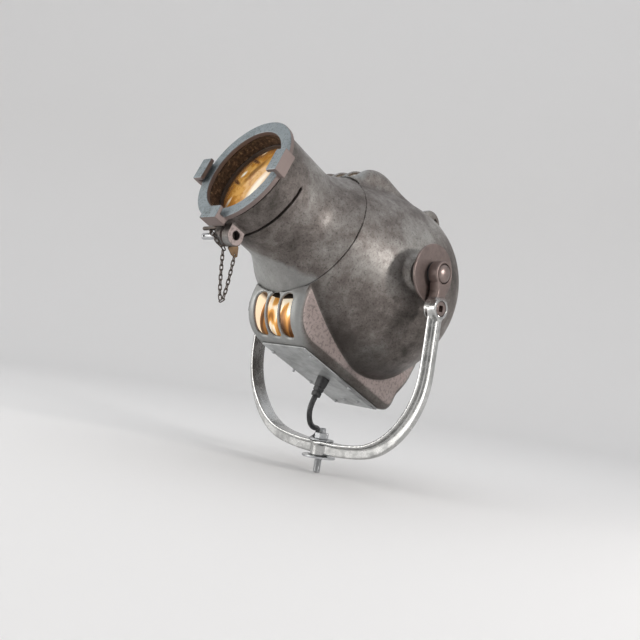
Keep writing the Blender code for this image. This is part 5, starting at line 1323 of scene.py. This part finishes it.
def build_inside():
    """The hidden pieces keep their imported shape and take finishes; the two lit sheets are laid anew."""
    finishes = {
        "lampholder": ceramic_finish(),
        "lamp_bulb": bulb_finish(),
        "reflector": polished_finish(),
        "reflector_bracket": sheet_finish(),
        "gate_plate": dark_steel_finish(),
    }
    for node, finish in finishes.items():
        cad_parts[node].material_slots[0].material = finish
    baffle_sheet("upper_lit_sheet", 1, 0.1120, 0.0462, "upper_baffle")
    baffle_sheet("lower_lit_sheet", -1, 0.1317, 0.0482, "lower_baffle")


# The lead.


def coil_points(per_turn=30):
    """The coil about X: its radius folds in and out, and it climbs one layer where the radius turns back."""
    per_layer = COIL_TURNS / COIL_LAYERS
    turns = np.linspace(0, COIL_TURNS, round(COIL_TURNS * per_turn) + 1)
    fold = np.abs((turns / per_layer + 1) % 2 - 1)
    radius = COIL_RADIUS - COIL_STEP * per_layer * fold
    layer = np.zeros_like(turns)
    for number in range(1, COIL_LAYERS):
        climb = np.clip((turns - number * per_layer) / 0.5 + 0.5, 0, 1)
        layer += climb * climb * (3 - 2 * climb)
    side = COIL_STEP * ((COIL_LAYERS - 1) / 2 - layer)
    angle = 2 * math.pi * turns
    x0, y0, z0 = COIL_CENTRE
    return np.stack([x0 + side, y0 - radius * np.cos(angle), z0 + radius * np.sin(angle)], axis=1)


def channel_path():
    """The lead's way up the far arm, in the corner behind the rib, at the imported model's own spacing."""
    path = bow_line(0.021)
    ahead = unit(np.gradient(path, axis=0))
    run = path + np.stack([ahead[:, 1], -ahead[:, 0]], axis=1) * 0.01005
    keep = (run[:, 0] > 0.068) & (run[:, 1] < 0.124)
    return [(-x, 0.0093, z) for x, z in run[keep]]


def lead_route():
    """The lead's centreline from the boot, past the nut, behind the bow and up the far arm, and its coil."""
    drop = [lamp_place(0.005, -0.1726, -0.042), lamp_place(0.005, -0.1826, -0.042), (0.0041, -0.0335, 0.0626)]
    drop += [(0.0022, -0.0306, 0.0530), (-0.0004, -0.0250, 0.0459), (-0.0031, -0.0181, 0.0415)]
    drop += [(-0.0059, -0.0110, 0.0394), (-0.0105, -0.0009, 0.0382), (-0.0151, 0.0067, 0.0352)]
    drop += [(-0.0207, 0.0123, 0.0307), (-0.0276, 0.0157, 0.0255), (-0.0355, 0.0164, 0.0205)]
    drop += [(-0.0442, 0.0146, 0.0168), (-0.0529, 0.0114, 0.0155), (-0.0622, 0.0093, 0.0164)]
    side, _, height = COIL_CENTRE
    rise = [(side + 0.0003, 0.0125, height - 0.058), (side + 0.0045, 0.0158, height - 0.044)]
    rise.append((side + 0.0095, 0.0165, height - 0.030))
    coil = coil_points()
    meets = coil[0] - (0, 0, 2 * LEAD_RADIUS + 0.0003)
    free = smooth_path([*drop, *channel_path(), *rise, meets - (0, 0, 0.008), meets], 0.0042)
    tail = coil[-1] - np.linspace(0, 1, 10)[1:, None] * np.array([0, 0, 0.038])
    return np.vstack([free, coil[:1] - (0, 0, 2 * LEAD_RADIUS - 0.0035), coil, tail])


def build_lead():
    route = lead_route()
    plastic = plastic_finish()
    nodes = ["cord_drop", "cord_run", "cord_coil"]
    lead = tube_piece("mains_lead", route, LEAD_RADIUS, plastic, None, 16, nodes)
    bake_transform(lead)
    end = Matrix.Translation(Vector(route[-1]) - Vector((0, 0, 0.0003)))
    body = [(0.0, 0.0), (0.0048, 0.0), (0.0055, -0.0020)]
    for number in range(4):
        neck, rib, top = 0.0052 + 0.0004 * number, 0.0060 + 0.0004 * number, -0.0030 - 0.0030 * number
        body += [(neck, top), (neck, top - 0.0011), (rib, top - 0.0014), (rib, top - 0.0028)]
    body += [(0.0082, -0.0180), (0.0105, -0.0210), (0.0130, -0.0245), (0.0130, -0.0340), (0.0, -0.0340)]
    pieces = [turned_piece("lead_plug", body, plastic, "yoke", end, 0.0006, 40, False, ["mains_plug"])]
    pin = [(0.0, -0.0343), (0.0024, -0.0343), (0.0024, -0.0505), (0.0018, -0.0513), (0.0, -0.0513)]
    for side, name in ((-1, "left"), (1, "right")):
        place = end @ Matrix.Translation((side * 0.0095, 0, 0))
        nodes = [f"{name}_plug_pin"]
        made = turned_piece(f"{name}_pin", pin, zinc_finish(), "yoke", place, 0.0004, 24, False, nodes)
        pieces.append(made)
    build_clips()


def build_clips():
    """Three clips round the lead on the bow, and the strap round the coil and the arm."""
    plastic = plastic_finish()
    path = np.array(channel_path())
    clip = ring_profile(0.00405, 0.00525, -0.0040, 0.0040)
    for number, place in enumerate((1, len(path) // 2, len(path) - 2), start=1):
        ahead = Vector(path[place + 1] - path[place - 1]).normalized()
        turn = Matrix.Translation(Vector(path[place])) @ ahead.to_track_quat("Z", "Y").to_matrix().to_4x4()
        title, nodes = f"lead_clip_{number}", [f"cord_clip_{number}"]
        turned_piece(title, clip, plastic, "yoke", turn, 0.0003, 32, True, nodes)
    side, front, height = COIL_CENTRE
    reach_in = COIL_RADIUS - COIL_STEP * COIL_TURNS / COIL_LAYERS
    across = COIL_STEP * (COIL_LAYERS - 1) / 2 + LEAD_RADIUS + 0.0009
    high = (side + across, front - reach_in + LEAD_RADIUS + 0.0029)
    outline = rounded_rectangle((side - across, -0.0124), high, 0.005)
    band = ring_profile(0.0, 0.0015, -0.0070, 0.0070)
    place = Matrix.Translation((0, 0, height))
    rimmed_piece("coil_tie", outline, band, plastic, "yoke", place, 0.0003, True, ["coil_strap"])


# Camera and stage.


def build_camera(context):
    """The photo's own camera: its place, its turn about the object, its height and its roll."""
    azimuth, elevation, roll = (math.radians(value) for value in CAMERA_ANGLES)
    level = math.cos(elevation)
    back = Vector((level * math.sin(azimuth), -level * math.cos(azimuth), math.sin(elevation)))
    right = Vector((0, 0, 1)).cross(back).normalized()
    up = back.cross(right)
    rolled_right = right * math.cos(roll) + up * math.sin(roll)
    rolled_up = up * math.cos(roll) - right * math.sin(roll)
    turn = Matrix((rolled_right, rolled_up, back)).transposed()
    data = bpy.data.cameras.new("photo_camera")
    data.lens = CAMERA_LENS
    data.sensor_width = 36
    data.clip_start = 0.01
    camera = bpy.data.objects.new("photo_camera", data)
    camera.matrix_world = Matrix.Translation(CAMERA_PLACE) @ turn.to_4x4()
    context.scene.collection.objects.link(camera)
    context.scene.camera = camera


def add_light(context, name, place, target, size, power, colour):
    """A round area light that looks from its place to a target."""
    data = bpy.data.lights.new(name, "AREA")
    data.shape = "DISK"
    data.size = size
    data.energy = power
    data.color = colour
    light = bpy.data.objects.new(name, data)
    aim = Vector(target) - Vector(place)
    light.matrix_world = Matrix.Translation(place) @ aim.to_track_quat("-Z", "Y").to_matrix().to_4x4()
    context.scene.collection.objects.link(light)


def build_stage(context):
    """A pale round floor that rises far off into a backdrop, two lamps and a soft sky."""
    columns = 96
    bend = np.radians(np.linspace(5, 90, 16))
    run = np.concatenate([np.linspace(0, 2.2, 12)[1:], 2.2 + 1.2 * np.sin(bend), [3.4]])
    rise = np.concatenate([np.zeros(11), 1.2 - 1.2 * np.cos(bend), [3.2]]) + FLOOR_AT
    angle = np.linspace(0, 2 * math.pi, columns, endpoint=False)
    across = run[:, None]
    rings = np.stack([across * np.cos(angle), across * np.sin(angle), rise[:, None] + 0 * angle], axis=-1)
    mesh = bpy.data.meshes.new("studio_bowl")
    faces = [*grid_faces(len(run), columns).tolist(), list(range(columns))]
    mesh.from_pydata(rings.reshape(-1, 3).tolist(), [], faces)
    mesh.shade_smooth()
    mesh.materials.append(blank_finish("studio_floor", tuple(colours().floor), 0.8)[0])
    bowl = bpy.data.objects.new("studio_bowl", mesh)
    context.scene.collection.objects.link(bowl)
    add_light(context, "key_light", (-0.85, -1.45, 0.45), (0, 0, 0.22), 1.2, 13.0, (1.0, 0.985, 0.96))
    add_light(context, "side_light", (1.55, 0.20, 0.62), (0, 0, 0.24), 0.22, 11.0, (1.0, 0.97, 0.95))
    world = bpy.data.worlds.new("studio_sky")
    world.use_nodes = True
    sky = world.node_tree.nodes["Background"]
    feed(sky, "Color", (0.95, 0.97, 1.0, 1.0))
    feed(sky, "Strength", 0.92)
    context.scene.world = world
    context.scene.view_settings.view_transform = "Standard"


# The add-on.


def measure(name, description, default):
    return FloatProperty(name=name, description=description, default=default, unit="LENGTH")


class SpotlightSizes(PropertyGroup):
    bell_radius: measure("Bell radius", "Widest radius of the housing", 0.1361)
    snout_radius: measure("Snout radius", "Outer radius of the snout's tube", 0.0695)
    slot_width: measure("Slot width", "Width of each vent slot", 0.0207)
    slot_pitch: measure("Slot pitch", "Distance from slot to slot", 0.0247)
    yoke_width: measure("Yoke width", "Width of the bow's inner flange", 0.023)


def tint(name, description, default):
    return FloatVectorProperty(
        name=name, description=description, default=default, size=3, min=0.0, max=1.0, subtype="COLOR"
    )


class SpotlightColours(PropertyGroup):
    casting_dark: tint("Casting, stains", "Darkest tone of the castings", (0.050, 0.043, 0.037))
    casting_middle: tint("Casting", "Main tone of the castings", (0.150, 0.130, 0.119))
    casting_light: tint("Casting, light", "Palest tone of the casting's stains", (0.320, 0.308, 0.288))
    # Painted light: the paler tone painted on the sideways-facing flats.
    casting_lit_flats: tint("Casting, flats", "Flat sides of the lamp box and ears", (0.420, 0.345, 0.325))
    # Painted light: the pale tone painted on the vents' fronts and below the snout.
    casting_painted_light: tint("Casting, painted_light", "The vents' fronts and below the snout", (0.380, 0.395, 0.390))
    front_ring: tint("Front ring", "Bare metal of the front ring", (0.250, 0.283, 0.298))
    yoke: tint("Yoke", "Polished metal of the yoke", (0.53, 0.53, 0.52))
    pivot_disc: tint("Friction disc", "Worn steel of the discs and bolts", (0.240, 0.190, 0.175))
    base_plate: tint("Base plate", "Sheet of the base plate", (0.44, 0.45, 0.45))
    lead: tint("Lead", "Plastic of the lead, boot and plug", (0.018, 0.018, 0.019))
    lens: tint("Lens", "The lit lens", (0.70, 0.40, 0.11))
    floor: tint("Floor", "The floor and backdrop", (0.80, 0.79, 0.78))


class SPOTLIGHT_OT_camera(Operator):
    """Sets up the camera at the photo's viewing angle."""

    bl_idname = "spotlight.camera"
    bl_label = "Camera"

    def execute(self, context):
        build_camera(context)
        return {"FINISHED"}


class SPOTLIGHT_OT_lead(Operator):
    """Lays the lead with its coil, plug, clips and tie."""

    bl_idname = "spotlight.lead"
    bl_label = "Lead"

    def execute(self, context):
        build_lead()
        return {"FINISHED"}


class SPOTLIGHT_OT_housing(Operator):
    """Casts the rear housing with its vents, bosses and lug."""

    bl_idname = "spotlight.housing"
    bl_label = "Rear housing"

    def execute(self, context):
        build_housing()
        return {"FINISHED"}


class SPOTLIGHT_OT_snout(Operator):
    """Casts the front snout with its clamp ears."""

    bl_idname = "spotlight.snout"
    bl_label = "Front snout"

    def execute(self, context):
        build_snout()
        return {"FINISHED"}


class SPOTLIGHT_OT_lens(Operator):
    """Makes the lens tube, the front ring, the lens and its clip."""

    bl_idname = "spotlight.lens"
    bl_label = "Lens group"

    def execute(self, context):
        build_lens_group()
        return {"FINISHED"}


class SPOTLIGHT_OT_clamp(Operator):
    """Makes the clamp screw and the captive pin."""

    bl_idname = "spotlight.clamp"
    bl_label = "Clamp"

    def execute(self, context):
        build_clamp()
        return {"FINISHED"}


class SPOTLIGHT_OT_chain(Operator):
    """Hangs the chain and its tab."""

    bl_idname = "spotlight.chain"
    bl_label = "Chain"

    def execute(self, context):
        build_chain()
        return {"FINISHED"}


class SPOTLIGHT_OT_yoke(Operator):
    """Casts the bow yoke and sets its square-socket screws."""

    bl_idname = "spotlight.yoke"
    bl_label = "Yoke"

    def execute(self, context):
        build_yoke()
        return {"FINISHED"}


class SPOTLIGHT_OT_pivots(Operator):
    """Makes the tilt pivots on both sides."""

    bl_idname = "spotlight.pivots"
    bl_label = "Tilt pivots"

    def execute(self, context):
        build_pivots()
        return {"FINISHED"}


class SPOTLIGHT_OT_foot(Operator):
    """Makes the foot's washers, nut and threaded stud."""

    bl_idname = "spotlight.foot"
    bl_label = "Foot"

    def execute(self, context):
        build_foot()
        return {"FINISHED"}


class SPOTLIGHT_OT_base(Operator):
    """Makes the base plate, its screws and the strain relief."""

    bl_idname = "spotlight.base"
    bl_label = "Base plate"

    def execute(self, context):
        build_base()
        return {"FINISHED"}


class SPOTLIGHT_OT_inside(Operator):
    """Gives the pieces inside the housing their finishes, and lays the lit sheets."""

    bl_idname = "spotlight.inside"
    bl_label = "Inside"

    def execute(self, context):
        build_inside()
        return {"FINISHED"}


class SPOTLIGHT_OT_stage(Operator):
    """Makes the floor, the backdrop, the lights and the sky."""

    bl_idname = "spotlight.stage"
    bl_label = "Stage"

    def execute(self, context):
        build_stage(context)
        return {"FINISHED"}


OPERATORS = (
    SPOTLIGHT_OT_camera,
    SPOTLIGHT_OT_lead,
    SPOTLIGHT_OT_housing,
    SPOTLIGHT_OT_snout,
    SPOTLIGHT_OT_lens,
    SPOTLIGHT_OT_clamp,
    SPOTLIGHT_OT_chain,
    SPOTLIGHT_OT_yoke,
    SPOTLIGHT_OT_pivots,
    SPOTLIGHT_OT_foot,
    SPOTLIGHT_OT_base,
    SPOTLIGHT_OT_inside,
    SPOTLIGHT_OT_stage,
)


class SPOTLIGHT_PT_panel(Panel):
    """Lists the spotlight's sizes, colours and pieces."""

    bl_idname = "SPOTLIGHT_PT_panel"
    bl_label = "Theatre Spotlight"
    bl_space_type = "VIEW_3D"
    bl_region_type = "UI"
    bl_category = "Spotlight"

    def draw(self, context):
        layout = self.layout
        for group in (context.scene.spotlight_sizes, context.scene.spotlight_colours):
            for name in group.__annotations__:
                layout.prop(group, name)
        for operator in OPERATORS:
            layout.operator(operator.bl_idname)


CLASSES = (SpotlightSizes, SpotlightColours, *OPERATORS, SPOTLIGHT_PT_panel)


def register():
    for item in CLASSES:
        bpy.utils.register_class(item)
    bpy.types.Scene.spotlight_sizes = PointerProperty(type=SpotlightSizes)
    bpy.types.Scene.spotlight_colours = PointerProperty(type=SpotlightColours)


def unregister():
    del bpy.types.Scene.spotlight_colours
    del bpy.types.Scene.spotlight_sizes
    for item in reversed(CLASSES):
        bpy.utils.unregister_class(item)


def main():
    register()
    for operator in OPERATORS:
        group, name = operator.bl_idname.split(".")
        getattr(getattr(bpy.ops, group), name)()


if __name__ == "__main__":
    main()
